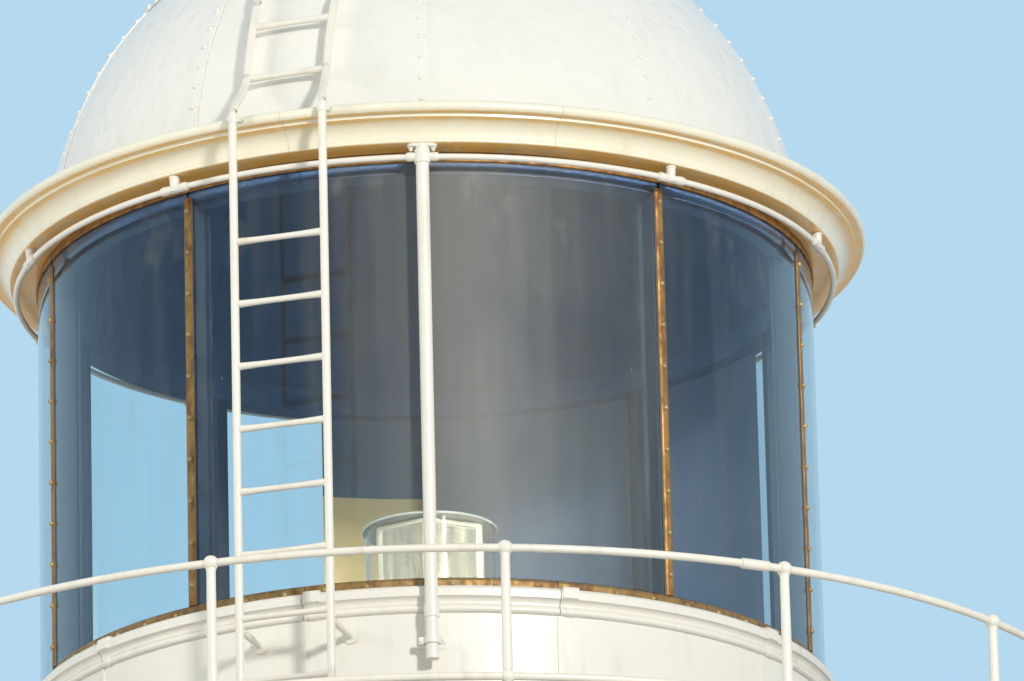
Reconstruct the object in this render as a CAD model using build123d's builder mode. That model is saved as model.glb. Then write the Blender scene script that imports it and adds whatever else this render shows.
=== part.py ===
from build123d import *

import os
from math import asin, atan2, cos, degrees, hypot, radians, sin, sqrt, tan

# A lighthouse lantern, in millimetres and degrees. The origin is on the axis,
# level with the underside of the gallery. The viewer's side is -Y.

os.makedirs("parts", exist_ok=True)

# Plan of the lantern: ten bays, with a glazing bar at the front
bays = 10
bay_angle = 360 / bays
front = -90
glass_radius = 1830
glass_thickness = 10
casting_joint = 3
seat = 0.3
bar_clearance = 4
floor_clearance = 10

# Gallery deck and lantern floor
deck_thickness = 120
deck_edge = 90
deck_nosing = 18
slab_joint = 3
hatch_width = 700
hatch_depth = 640
hatch_from_axis = 620

# Gallery handrail
gallery_width = 1270
rail_height = 1125
mid_rail_drop = 583
rail_diameter = 33.7
post_diameter = 42.4
ball_diameter = 64
ball_flat_share = 0.45
posts = 15
first_post = front - 18
post_foot_diameter = 130
post_foot_thickness = 14
rail_runs = 3
bar_sides = 8

# Murette, the iron wall under the glass
murette_reach = 20
murette_thickness = 25
murette_height = 1335
murette_flange = 30
moulding_height = 121
moulding_reach = 35
bead_share = 0.4
moulding_bead = 36
moulding_cove = 40

# Sill and glazing
sill_reach = 8
sill_height = 49
bar_depth = 116
bar_width = 58
bar_flange = 12
bar_web = 14
glazing_height = 1928
glass_gap = 16
head_clearance = 32
strip_width = 40
strip_thickness = 9

# Head ring and gutter
head_height = 100
gutter_floor = 12
soffit_reach = 122
cove_height = 72
cove_reach = 80
cove_bulge = 0.29
band_height = 23
gutter_lip_reach = 46
gutter_lip_height = 44
gutter_wall = 14
gutter_depth = 118

# Ring rail under the gutter, on tees
ring_rail_reach = 101
ring_rail_drop = 59
tee_diameter = 44
tee_length = 147
tee_foot_diameter = 62
tee_foot_thickness = 8
ring_rail_runs = 4

# Downpipe at the front
downpipe_diameter = 60.3
downpipe_end = 1095
downpipe_flange_length = 140
downpipe_flange_width = 66
clip_height = 42
clip_width = 126
clip_plate = 10
clip_band = 8
clip_top = 1200

# Dome of riveted gores, in two courses, with a crown ring
dome_inset = 16
dome_sheet = 8
dome_spring_rise = 14
dome_course_angle = 42
dome_crown_angle = 79
lower_bends = 4
upper_bends = 3
crown_lap = 12

# Ventilator over the crown
vent_height = 230
vent_wall = 10
cowl_reach = 134
cowl_rise = 190
cowl_gap = 90
cowl_sheet = 8
cowl_outline = [(0, 1), (0.72, 0.62), (1, 0)]
vent_stays = 3
vent_stay_width = 40
vent_stay_thickness = 10
finial_ball_diameter = 190
finial_bends = 6
rod_diameter = 22
rod_length = 520

# Outside ladder and the ladder over the dome
ladder_azimuth = front - 18
ladder_reach = 285
stile_spread = 430
stile_diameter = 38.1
rung_diameter = 28
rung_pitch = 297
first_rung = 402
ladder_rungs = 10
ladder_top_drop = 34
bend_rise = 40
bend_reach = 30
dome_stand_off = 60
dome_stile_spread = 388
dome_ladder_shift_angle = 1.7
dome_ladder_start_angle = 11
dome_stile_overrun = 46
dome_runs = 6
dome_rungs = 6
dome_rung_start_angle = 12.7
stay_diameter = 33.7
stay_foot_diameter = 80
stay_foot_thickness = 8
upper_stay = 1245
lower_stay = 420

# Beacon on its pedestal
pedestal_diameter = 420
pedestal_foot_diameter = 560
pedestal_foot_height = 40
pedestal_height = 1560
beacon_base_diameter = 600
beacon_base_height = 90
cover_diameter = 606
cover_wall = 6
lid_diameter = 636
lid_underside = 2289
lid_thickness = 26
lens_sides = 6
lens_radius = 285
lens_frame = 22
lens_thickness = 18
lens_turn_angle = -2

# Landward screens inside the glass
screen_gap = 45
screen_thickness = 3
first_screened_bay = 3
screen_slit = 30
slit_angle = 9.7
half_screen_angle = 16

# Levels and radii that follow from the values above
deck_top = deck_thickness
rail_level = deck_top + rail_height
rail_radius = glass_radius + gallery_width
murette_radius = glass_radius + murette_reach
ring_rail_radius = glass_radius + ring_rail_reach
dome_radius = glass_radius - dome_inset
stile_radius = glass_radius + ladder_reach
murette_top = deck_top + murette_height
sill_top = murette_top + sill_height
head_bottom = sill_top + glazing_height
head_top = head_bottom + head_height
gutter_top = head_top + gutter_depth + gutter_lip_height
dome_centre = head_top + gutter_floor + dome_spring_rise
ladder_top = gutter_top - ladder_top_drop
bar_back = glass_radius - glass_thickness - bar_clearance - bar_depth
stile_dome_radius = dome_radius + dome_stand_off
deck_inner_radius = bar_back - floor_clearance
deck_radius = rail_radius + deck_edge
crown_radius = dome_radius * cos(radians(dome_crown_angle))
crown_level = dome_centre + dome_radius * sin(radians(dome_crown_angle))


def finish(builder, name):
    """Label a finished piece and write it."""
    builder.part.label = name
    export_step(builder.part, f"parts/{name}.step")


def radial_plane(azimuth):
    """The upright plane through the axis, with x outward and y up."""
    a = radians(azimuth)
    return Plane(origin=(0, 0, 0), x_dir=(cos(a), sin(a), 0), z_dir=(sin(a), -cos(a), 0))


def gap_angle(gap, radius):
    """The angle that a gap takes at a radius."""
    return degrees(gap / radius)


def turned(outline, span):
    """A segment of a ring, centred on azimuth 0, from its outline of (radius, height)."""
    with BuildPart() as segment:
        with BuildSketch(radial_plane(-span / 2)):
            with BuildLine():
                Polyline(*outline, close=True)
            make_face()
        revolve(axis=Axis.Z, revolution_arc=span)
    return segment.part


def on_circle(radius, azimuth, level):
    """A point at a radius, azimuth and level."""
    return (radius * cos(radians(azimuth)), radius * sin(radians(azimuth)), level)


def rail_span(radius, level, start, end, runs):
    """A length of pipe rail bent to a circle in a few straight runs."""
    step = (end - start) / runs
    points = [on_circle(radius, start + step * i, level) for i in range(runs + 1)]
    with BuildPart() as rail:
        with BuildLine() as path:
            Polyline(*points)
        with BuildSketch(Plane(origin=path.line @ 0, z_dir=path.line % 0)):
            RegularPolygon(rail_diameter / 2, bar_sides)
        sweep(path=path.line, transition=Transition.RIGHT)
    return rail.part


# Gallery deck: fifteen stone slabs with chamfered nosings, one to each post
slab_angle = 360 / posts
slab = turned(
    [
        (deck_inner_radius, 0),
        (deck_radius, 0),
        (deck_radius, deck_top - deck_nosing),
        (deck_radius - deck_nosing, deck_top),
        (deck_inner_radius, deck_top),
    ],
    slab_angle - gap_angle(slab_joint, deck_radius),
)
with BuildPart() as gallery_deck:
    with PolarLocations(0, posts, start_angle=first_post):
        add(slab)
finish(gallery_deck, "gallery_deck")

# Lantern floor: four slabs round the hatch that the lantern is entered by
floor_radius = deck_inner_radius - seat
hatch_back = hatch_from_axis + hatch_depth
side_width = floor_radius - hatch_width / 2 - slab_joint
side_centre = floor_radius - side_width / 2
front_depth = floor_radius + hatch_from_axis
back_depth = floor_radius - hatch_back
with BuildPart() as lantern_floor:
    with BuildSketch():
        with Locations((-side_centre, 0), (side_centre, 0)):
            Rectangle(side_width, 2 * floor_radius)
        with Locations((0, hatch_from_axis - front_depth / 2)):
            Rectangle(hatch_width, front_depth)
        with Locations((0, hatch_back + back_depth / 2)):
            Rectangle(hatch_width, back_depth)
        Circle(floor_radius, mode=Mode.INTERSECT)
    extrude(amount=deck_thickness)
finish(lantern_floor, "lantern_floor")

# Murette: ten cast-iron panels with an inward flange that carries the sill
murette_inner = murette_radius - murette_thickness
panel = turned(
    [
        (murette_inner, deck_top),
        (murette_radius, deck_top),
        (murette_radius, murette_top),
        (deck_inner_radius, murette_top),
        (deck_inner_radius, murette_top - murette_flange),
        (murette_inner, murette_top - murette_flange),
    ],
    bay_angle - gap_angle(casting_joint, murette_radius),
)
with BuildPart() as murette_panels:
    with PolarLocations(0, bays, start_angle=front):
        add(panel)
finish(murette_panels, "murette_panels")

# Moulding along the top of the murette: a bead, a cove and a flat band
moulding_foot = murette_top - moulding_height
bead_middle = moulding_foot + moulding_bead / 2
bead_reach = moulding_reach * bead_share
cove_foot = moulding_foot + moulding_bead
band_foot = cove_foot + moulding_cove
band_radius = murette_radius + moulding_reach
moulding_bay = turned(
    [
        (murette_radius, moulding_foot),
        (murette_radius + bead_reach, bead_middle - moulding_bead / 4),
        (murette_radius + bead_reach, bead_middle + moulding_bead / 4),
        (murette_radius + bead_reach / 4, cove_foot),
        (murette_radius + bead_reach / 2, cove_foot + moulding_cove / 2),
        (band_radius, band_foot),
        (band_radius, murette_top - bead_reach),
        (murette_radius, murette_top),
    ],
    bay_angle - gap_angle(casting_joint, band_radius),
)
with BuildPart() as murette_moulding:
    with PolarLocations(0, bays, start_angle=front):
        add(moulding_bay)
finish(murette_moulding, "murette_moulding")

# Sill ring: gunmetal, bedded on the murette flange
sill_radius = glass_radius + sill_reach
sill_bay = turned(
    [
        (deck_inner_radius, murette_top),
        (sill_radius, murette_top),
        (sill_radius, sill_top),
        (deck_inner_radius, sill_top),
    ],
    bay_angle - gap_angle(casting_joint, sill_radius),
)
with BuildPart() as sill_ring:
    with PolarLocations(0, bays, start_angle=front):
        add(sill_bay)
finish(sill_ring, "sill_ring")

# Glazing bars: I-section standards behind the glass joints
bar_face = bar_back + bar_depth
with BuildPart() as glazing_bar:
    with BuildSketch(Plane.XY.offset(sill_top)):
        with Locations((bar_back + bar_flange / 2, 0), (bar_face - bar_flange / 2, 0)):
            Rectangle(bar_flange, bar_width)
        with Locations((bar_back + bar_depth / 2, 0)):
            Rectangle(bar_depth - bar_flange, bar_web)
    extrude(amount=glazing_height)
with BuildPart() as glazing_bars:
    with PolarLocations(0, bays, start_angle=front):
        add(glazing_bar.part)
finish(glazing_bars, "glazing_bars")

# Glass: ten tall panes bent to the circle
pane = turned(
    [
        (glass_radius - glass_thickness, sill_top),
        (glass_radius, sill_top),
        (glass_radius, head_top - head_clearance),
        (glass_radius - glass_thickness, head_top - head_clearance),
    ],
    bay_angle - gap_angle(glass_gap, glass_radius),
)
with BuildPart() as glass_panes:
    with PolarLocations(0, bays, start_angle=front + bay_angle / 2):
        add(pane)
finish(glass_panes, "glass_panes")

# Cover strips: gunmetal, screwed over the glass joints from outside
strip_top = head_top - ring_rail_drop - rail_diameter / 2
with BuildPart() as cover_strip:
    with BuildSketch(Plane.XY.offset(sill_top)):
        with BuildLine():
            Polyline(
                (glass_radius, -strip_width / 2),
                (glass_radius + strip_thickness / 2, -strip_width / 2),
                (glass_radius + strip_thickness, -strip_width / 4),
                (glass_radius + strip_thickness, strip_width / 4),
                (glass_radius + strip_thickness / 2, strip_width / 2),
                (glass_radius, strip_width / 2),
                close=True,
            )
        make_face()
    extrude(amount=strip_top - sill_top)
with BuildPart() as cover_strips:
    with PolarLocations(0, bays, start_angle=front):
        add(cover_strip.part)
finish(cover_strips, "cover_strips")

# Head ring: the iron ring that the glazing bars carry
head_bay = turned(
    [
        (bar_back, head_bottom),
        (bar_face, head_bottom),
        (bar_face, head_top),
        (bar_back, head_top),
    ],
    bay_angle - gap_angle(casting_joint, glass_radius),
)
with BuildPart() as head_ring:
    with PolarLocations(0, bays, start_angle=front):
        add(head_bay)
finish(head_ring, "head_ring")

# Gutter: ten castings with a flat soffit, a bead, a cove, a band and a lip
soffit_radius = glass_radius + soffit_reach
cove_foot_radius = soffit_radius + gutter_floor
cove_top_radius = cove_foot_radius + cove_reach
cove_foot_level = head_top + gutter_floor
cove_top_level = cove_foot_level + cove_height
cove_middle_radius = cove_foot_radius + cove_reach * cove_bulge
cove_middle_level = cove_top_level - cove_height * cove_bulge
lip_radius = cove_top_radius + gutter_lip_reach
lip_foot_level = cove_top_level + band_height
gutter_bay = turned(
    [
        (bar_back, head_top),
        (soffit_radius, head_top),
        (cove_foot_radius, head_top + gutter_floor / 2),
        (cove_foot_radius, cove_foot_level),
        (cove_middle_radius, cove_middle_level),
        (cove_top_radius, cove_top_level),
        (cove_top_radius, lip_foot_level),
        (lip_radius, lip_foot_level + gutter_lip_height / 2),
        (lip_radius - gutter_wall / 2, gutter_top),
        (lip_radius - 2 * gutter_wall, gutter_top),
        (cove_top_radius - gutter_wall / 2, lip_foot_level),
        (cove_middle_radius - gutter_wall, cove_middle_level + gutter_wall / 2),
        (cove_foot_radius - gutter_wall, cove_foot_level + gutter_floor),
        (glass_radius, head_top + gutter_floor),
        (bar_back, head_top + gutter_floor),
    ],
    bay_angle - gap_angle(casting_joint, lip_radius),
)
with BuildPart() as gutter:
    with PolarLocations(0, bays, start_angle=front):
        add(gutter_bay)
finish(gutter, "gutter")

# Dome: sheet gores in two courses with a riveted joint at each glazing bar
def dome_ring(start, end, bends):
    """A gore from one angle above the springing to another, as flat bends of sheet."""
    inner_radius = dome_radius - dome_sheet
    angles = [radians(start + (end - start) * i / bends) for i in range(bends + 1)]
    outer = [(dome_radius * cos(a), dome_centre + dome_radius * sin(a)) for a in angles]
    inner = [(inner_radius * cos(a), dome_centre + inner_radius * sin(a)) for a in reversed(angles)]
    return outer + inner


dome_gap = gap_angle(casting_joint, dome_radius)
skirt_angle = -degrees(asin(dome_spring_rise / dome_radius))
lower_gore = turned(dome_ring(skirt_angle, dome_course_angle, lower_bends), bay_angle - dome_gap)
upper_gore = turned(dome_ring(dome_course_angle, dome_crown_angle, upper_bends), bay_angle - dome_gap)
for gore, name in ((lower_gore, "dome_lower_gores"), (upper_gore, "dome_upper_gores")):
    with BuildPart() as course:
        with PolarLocations(0, bays, start_angle=front + bay_angle / 2):
            add(gore)
    finish(course, name)

# Crown ring: closes the top of the gores and carries the ventilator
vent_radius = crown_radius - vent_wall
with BuildPart() as crown_ring:
    with BuildSketch(Plane.XY.offset(crown_level)):
        Circle(crown_radius)
        Circle(vent_radius - crown_lap, mode=Mode.SUBTRACT)
    extrude(amount=crown_lap)
finish(crown_ring, "crown_ring")

# Ventilator: an open drum, its cowl on three stays, and a ball over the cowl
vent_foot = crown_level + crown_lap
vent_top = vent_foot + vent_height
with BuildPart() as ventilator_drum:
    with BuildSketch(Plane.XY.offset(vent_foot)):
        Circle(vent_radius)
        Circle(vent_radius - vent_wall, mode=Mode.SUBTRACT)
    extrude(amount=vent_height)
finish(ventilator_drum, "ventilator_drum")

cowl_radius = vent_radius + cowl_reach
cowl_foot = vent_top + cowl_gap
cowl_top = cowl_foot + cowl_rise
inner_cowl_radius = cowl_radius - cowl_sheet
inner_cowl_rise = cowl_rise - cowl_sheet
cowl_inside = [(inner_cowl_radius * x, cowl_foot + inner_cowl_rise * y) for x, y in cowl_outline]
with BuildPart() as ventilator_cowl:
    with BuildSketch(Plane.XZ):
        with BuildLine():
            Polyline(
                *[(cowl_radius * x, cowl_foot + cowl_rise * y) for x, y in cowl_outline],
                *reversed(cowl_inside),
                close=True,
            )
        make_face()
    revolve(axis=Axis.Z)
finish(ventilator_cowl, "ventilator_cowl")

# Stays: three flat bars from the rim of the drum to the underside of the cowl
stay_radius = vent_radius - vent_wall / 2
with BuildPart() as ventilator_stays:
    with BuildSketch(Plane.XY.offset(vent_top)):
        with PolarLocations(stay_radius, vent_stays, start_angle=front):
            Rectangle(vent_stay_thickness, vent_stay_width)
    extrude(amount=cowl_gap + cowl_rise)
    with BuildSketch(Plane.XZ):
        with BuildLine():
            Polyline(
                *cowl_inside,
                (cowl_radius, cowl_foot),
                (cowl_radius, cowl_top + cowl_rise),
                (0, cowl_top + cowl_rise),
                close=True,
            )
        make_face()
    revolve(axis=Axis.Z, mode=Mode.SUBTRACT)
finish(ventilator_stays, "ventilator_stays")

# Finial: a ball over the cowl with a lightning rod on it, turned in one
ball_over_cowl = finial_ball_diameter / 2
finial_turns = [radians(180 * i / finial_bends) for i in range(finial_bends)]
ball_outline = [(ball_over_cowl * sin(a), cowl_top + ball_over_cowl * (1 - cos(a))) for a in finial_turns]
rod_foot = cowl_top + finial_ball_diameter
with BuildPart() as finial:
    with BuildSketch(Plane.XZ):
        with BuildLine():
            Polyline(
                *ball_outline,
                (rod_diameter / 2, rod_foot),
                (rod_diameter / 2, rod_foot + rod_length),
                (0, rod_foot + rod_length),
                close=True,
            )
        make_face()
    revolve(axis=Axis.Z)
finish(finial, "finial")

# Ring rail: pipe lengths round the lantern, between the tees under the gutter
ring_rail_level = head_top - ring_rail_drop
tee_half_angle = degrees(asin(tee_length / 2 / ring_rail_radius))
rail_slack = 2 * seat + rail_diameter / 2 * tan(radians(tee_half_angle + bay_angle / ring_rail_runs / 2))
rail_slack_angle = gap_angle(rail_slack, ring_rail_radius)
ring_length = rail_span(
    ring_rail_radius,
    ring_rail_level,
    tee_half_angle + rail_slack_angle,
    bay_angle - tee_half_angle - rail_slack_angle,
    ring_rail_runs,
)
with BuildPart() as ring_rail:
    with PolarLocations(0, bays, start_angle=front):
        add(ring_length)
finish(ring_rail, "ring_rail")

# Tees: each hangs from a foot bolted to the soffit, the front one on the downpipe
tee_plane = Plane(origin=(ring_rail_radius, 0, ring_rail_level), x_dir=(1, 0, 0), z_dir=(0, 1, 0))
tee_foot = head_top - tee_foot_thickness
with BuildPart() as tee:
    with BuildSketch(tee_plane):
        RegularPolygon(tee_diameter / 2, bar_sides)
    extrude(amount=tee_length / 2, both=True)
    with BuildSketch(Plane.XY.offset(ring_rail_level)):
        with Locations((ring_rail_radius, 0)):
            RegularPolygon(tee_diameter / 2, bar_sides)
    extrude(amount=ring_rail_drop)
    with BuildSketch(Plane.XY.offset(tee_foot)):
        with Locations((ring_rail_radius, 0)):
            RegularPolygon(tee_foot_diameter / 2, bar_sides)
    extrude(amount=tee_foot_thickness)
with BuildPart() as cross:
    with BuildSketch(tee_plane):
        RegularPolygon(tee_diameter / 2, bar_sides)
    extrude(amount=tee_length / 2, both=True)
    with BuildSketch(Plane.XY.offset(ring_rail_level - tee_diameter)):
        with Locations((ring_rail_radius, 0)):
            Circle(downpipe_diameter / 2 + seat)
    extrude(amount=2 * tee_diameter, mode=Mode.SUBTRACT)
with BuildPart() as rail_tees:
    for joint in range(1, bays):
        with PolarLocations(0, 1, start_angle=front + bay_angle * joint):
            add(tee.part)
    with PolarLocations(0, 1, start_angle=front):
        add(cross.part)
finish(rail_tees, "rail_tees")

# Downpipe: an iron pipe from a flange on the soffit down to the murette
with BuildPart() as downpipe_at_zero:
    with BuildSketch(Plane.XY.offset(downpipe_end)):
        with Locations((ring_rail_radius, 0)):
            Circle(downpipe_diameter / 2)
    extrude(amount=head_top - downpipe_end)
    with BuildSketch(Plane.XY.offset(tee_foot)):
        with Locations(Location((ring_rail_radius, 0, 0), (0, 0, 90))):
            SlotOverall(downpipe_flange_length, downpipe_flange_width)
    extrude(amount=tee_foot_thickness)
with BuildPart() as downpipe:
    with PolarLocations(0, 1, start_angle=front):
        add(downpipe_at_zero.part)
finish(downpipe, "downpipe")

# Clip: a plate on the murette with a band round the downpipe
clip_foot = clip_top - clip_height
band_outer = downpipe_diameter / 2 + clip_band
stem_length = ring_rail_radius - murette_radius
with BuildPart() as clip_at_zero:
    with BuildSketch(Plane.XY.offset(clip_foot)):
        with Locations((murette_radius + clip_plate / 2, 0)):
            Rectangle(clip_plate, clip_width)
        with Locations((murette_radius + stem_length / 2, 0)):
            Rectangle(stem_length, clip_height)
        with Locations((ring_rail_radius, 0)):
            Circle(band_outer)
        with Locations((ring_rail_radius, 0)):
            Circle(downpipe_diameter / 2 + seat, mode=Mode.SUBTRACT)
    extrude(amount=clip_height)
with BuildPart() as downpipe_clip:
    with PolarLocations(0, 1, start_angle=front):
        add(clip_at_zero.part)
finish(downpipe_clip, "downpipe_clip")

# Stanchions: bar posts on round feet, with a ball at each rail
ball_radius = ball_diameter / 2
mid_level = rail_level - mid_rail_drop
with BuildPart() as ball:
    with BuildSketch(Plane.XY.offset(-ball_radius)):
        RegularPolygon(ball_radius, bar_sides)
    extrude(amount=ball_diameter)
    end_edges = ball.edges().group_by(Axis.Z)[0] + ball.edges().group_by(Axis.Z)[-1]
    chamfer(end_edges, length=ball_radius * ball_flat_share)
with BuildPart() as stanchion:
    with BuildSketch(Plane.XY.offset(deck_top)):
        RegularPolygon(post_foot_diameter / 2, bar_sides)
    extrude(amount=post_foot_thickness)
    with BuildSketch(Plane.XY.offset(deck_top)):
        RegularPolygon(post_diameter / 2, bar_sides)
    extrude(amount=rail_height)
    with Locations((0, 0, mid_level), (0, 0, rail_level)):
        add(ball.part)
with BuildPart() as stanchions:
    with PolarLocations(rail_radius, posts, start_angle=first_post):
        add(stanchion.part)
finish(stanchions, "stanchions")

# Handrail: a top and a middle pipe rail in lengths between the balls
rail_end_angle = gap_angle(ball_radius + seat, rail_radius)
for level, name in ((rail_level, "top_rail"), (mid_level, "mid_rail")):
    length = rail_span(rail_radius, level, rail_end_angle, slab_angle - rail_end_angle, rail_runs)
    with BuildPart() as rail:
        with PolarLocations(0, posts, start_angle=first_post):
            add(length)
    finish(rail, name)

# Outside ladder: pipe stiles and rungs, from the deck to the gutter
stile_offset = stile_spread / 2
rung_plane = Plane(origin=(0, 0, 0), x_dir=(1, 0, 0), z_dir=(0, -1, 0))


def rungs(places, offset, azimuth, name):
    """Bar rungs between two stiles, each at a place of (radius, height)."""
    with BuildPart() as rungs_at_zero:
        with BuildSketch(rung_plane):
            with Locations(*places):
                RegularPolygon(rung_diameter / 2, bar_sides)
        extrude(amount=offset - stile_diameter / 2 - seat, both=True)
    with BuildPart() as rung_set:
        with PolarLocations(0, 1, start_angle=azimuth):
            add(rungs_at_zero.part)
    finish(rung_set, name)


with BuildPart() as stiles_at_zero:
    with BuildSketch(Plane.XY.offset(deck_top)):
        with Locations((stile_radius, -stile_offset), (stile_radius, stile_offset)):
            Circle(stile_diameter / 2)
    extrude(amount=ladder_top - deck_top)
with BuildPart() as ladder_stiles:
    with PolarLocations(0, 1, start_angle=ladder_azimuth):
        add(stiles_at_zero.part)
finish(ladder_stiles, "ladder_stiles")
rungs(
    [(stile_radius, first_rung + rung_pitch * i) for i in range(ladder_rungs)],
    stile_offset,
    ladder_azimuth,
    "ladder_rungs",
)

# Dome ladder: the stiles bent in over the gutter and up the dome, a little to one side
dome_ladder_azimuth = ladder_azimuth - dome_ladder_shift_angle
dome_stile_offset = dome_stile_spread / 2
dome_stile_reach = sqrt(stile_dome_radius**2 - dome_stile_offset**2)
dome_rung_step = degrees(rung_pitch / dome_stile_reach)
last_rung_angle = dome_rung_start_angle + dome_rung_step * (dome_rungs - 1)
dome_ladder_end_angle = last_rung_angle + degrees(dome_stile_overrun / dome_stile_reach)
dome_run_angle = (dome_ladder_end_angle - dome_ladder_start_angle) / dome_runs


def dome_ladder_point(angle):
    """A point between the stiles as (radius, height), at an angle above the springing."""
    a = radians(angle)
    return (dome_stile_reach * cos(a), dome_centre + dome_stile_reach * sin(a))


def dome_stile_point(angle, offset):
    """A point on a stile, seen from the ladder below, at an angle above the springing."""
    reach, level = dome_ladder_point(angle)
    return on_circle(hypot(reach, offset), degrees(atan2(offset, reach)) - dome_ladder_shift_angle, level)


with BuildPart() as dome_stiles_at_zero:
    for side in (-1, 1):
        foot = (stile_radius, side * stile_offset, ladder_top)
        bend = [
            (stile_radius, side * stile_offset, ladder_top + bend_rise),
            (stile_radius - bend_reach, side * stile_offset, ladder_top + 2 * bend_rise),
        ]
        runs = [
            dome_stile_point(dome_ladder_start_angle + dome_run_angle * i, side * dome_stile_offset)
            for i in range(dome_runs + 1)
        ]
        with BuildLine() as path:
            Polyline(foot, *bend, *runs)
        with BuildSketch(Plane(origin=foot, z_dir=path.line % 0)):
            RegularPolygon(stile_diameter / 2, bar_sides)
        sweep(path=path.line, transition=Transition.RIGHT)
with BuildPart() as dome_ladder_stiles:
    with PolarLocations(0, 1, start_angle=ladder_azimuth):
        add(dome_stiles_at_zero.part)
finish(dome_ladder_stiles, "dome_ladder_stiles")
rungs(
    [dome_ladder_point(dome_rung_start_angle + dome_rung_step * i) for i in range(dome_rungs)],
    dome_stile_offset,
    dome_ladder_azimuth,
    "dome_ladder_rungs",
)

# Ladder stays: level pipes from the stiles to feet on the murette
stay_start = sqrt(murette_radius**2 - stile_offset**2)
with BuildPart() as stay_pair:
    for level in (lower_stay, upper_stay):
        for side in (-stile_offset, stile_offset):
            with BuildSketch(Plane.YZ.offset(stay_start)):
                with Locations((side, level)):
                    RegularPolygon(stay_diameter / 2, bar_sides)
            extrude(amount=stile_radius - stay_start)
            with BuildSketch(Plane.YZ.offset(stay_start)):
                with Locations((side, level)):
                    RegularPolygon(stay_foot_diameter / 2, bar_sides)
            extrude(amount=stay_foot_thickness)
    with BuildSketch(Plane.XY.offset(deck_top)):
        with Locations((stile_radius, -stile_offset), (stile_radius, stile_offset)):
            Circle(stile_diameter / 2 + seat)
        Circle(murette_radius + seat)
    extrude(amount=murette_height, mode=Mode.SUBTRACT)
with BuildPart() as ladder_stays:
    with PolarLocations(0, 1, start_angle=ladder_azimuth):
        add(stay_pair.part)
finish(ladder_stays, "ladder_stays")

# Beacon: pedestal, turntable base, six framed lens panels, clear cover and lid
with BuildPart() as beacon_pedestal:
    with BuildSketch(Plane.XY.offset(deck_top)):
        Circle(pedestal_foot_diameter / 2)
    extrude(amount=pedestal_foot_height)
    with BuildSketch(Plane.XY.offset(deck_top)):
        Circle(pedestal_diameter / 2)
    extrude(amount=pedestal_height)
finish(beacon_pedestal, "beacon_pedestal")

base_foot = deck_top + pedestal_height
base_top = base_foot + beacon_base_height
with BuildPart() as beacon_base:
    with BuildSketch(Plane.XY.offset(base_foot)):
        Circle(beacon_base_diameter / 2)
    extrude(amount=beacon_base_height)
finish(beacon_base, "beacon_base")

with BuildPart() as beacon_cover:
    with BuildSketch(Plane.XY.offset(base_top)):
        Circle(cover_diameter / 2)
        Circle(cover_diameter / 2 - cover_wall, mode=Mode.SUBTRACT)
    extrude(amount=lid_underside - base_top)
finish(beacon_cover, "beacon_cover")

with BuildPart() as beacon_lid:
    with BuildSketch(Plane.XY.offset(lid_underside)):
        Circle(lid_diameter / 2)
    extrude(amount=lid_thickness)
finish(beacon_lid, "beacon_lid")

lens_angle = 360 / lens_sides
lens_apothem = lens_radius * cos(radians(lens_angle / 2))
lens_width = 2 * lens_radius * sin(radians(lens_angle / 2)) - casting_joint - lens_thickness
lens_height = lid_underside - base_top - 2 * casting_joint
lens_plane = Plane(origin=(lens_apothem - lens_thickness, 0, base_top), x_dir=(0, 1, 0), z_dir=(1, 0, 0))
with BuildPart() as lens_panel:
    with BuildSketch(lens_plane):
        with Locations((0, lens_height / 2)):
            Rectangle(lens_width, lens_height)
    extrude(amount=lens_thickness)
    with BuildSketch(lens_plane.offset(lens_thickness / 2)):
        with Locations((0, lens_height / 2)):
            Rectangle(lens_width - 2 * lens_frame, lens_height - 2 * lens_frame)
    extrude(amount=lens_thickness / 2, mode=Mode.SUBTRACT)
with BuildPart() as lens_panels:
    with PolarLocations(0, lens_sides, start_angle=front + lens_turn_angle + lens_angle / 2):
        add(lens_panel.part)
finish(lens_panels, "lens_panels")

# Landward screens: sheets hung between the glazing bars, close to the glass. The
# first bay's sheet is in two, with a slit between them, and the last is half a bay.
screen_radius = glass_radius - screen_gap
screen_outline = [
    (screen_radius - screen_thickness, sill_top),
    (screen_radius, sill_top),
    (screen_radius, head_bottom),
    (screen_radius - screen_thickness, head_bottom),
]
bar_edge = gap_angle(bar_width / 2, screen_radius)
slit_edge = gap_angle(screen_slit / 2, screen_radius)
first_bar = bay_angle * first_screened_bay
second_bar = first_bar + bay_angle
third_bar = second_bar + bay_angle
sheets = [
    (first_bar + bar_edge, first_bar + slit_angle - slit_edge),
    (first_bar + slit_angle + slit_edge, second_bar - bar_edge),
    (second_bar + bar_edge, third_bar - bar_edge),
    (third_bar + bar_edge, third_bar + bar_edge + half_screen_angle),
]
with BuildPart() as landward_screens:
    for start, end in sheets:
        with PolarLocations(0, 1, start_angle=front + (start + end) / 2):
            add(turned(screen_outline, end - start))
finish(landward_screens, "landward_screens")
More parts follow.
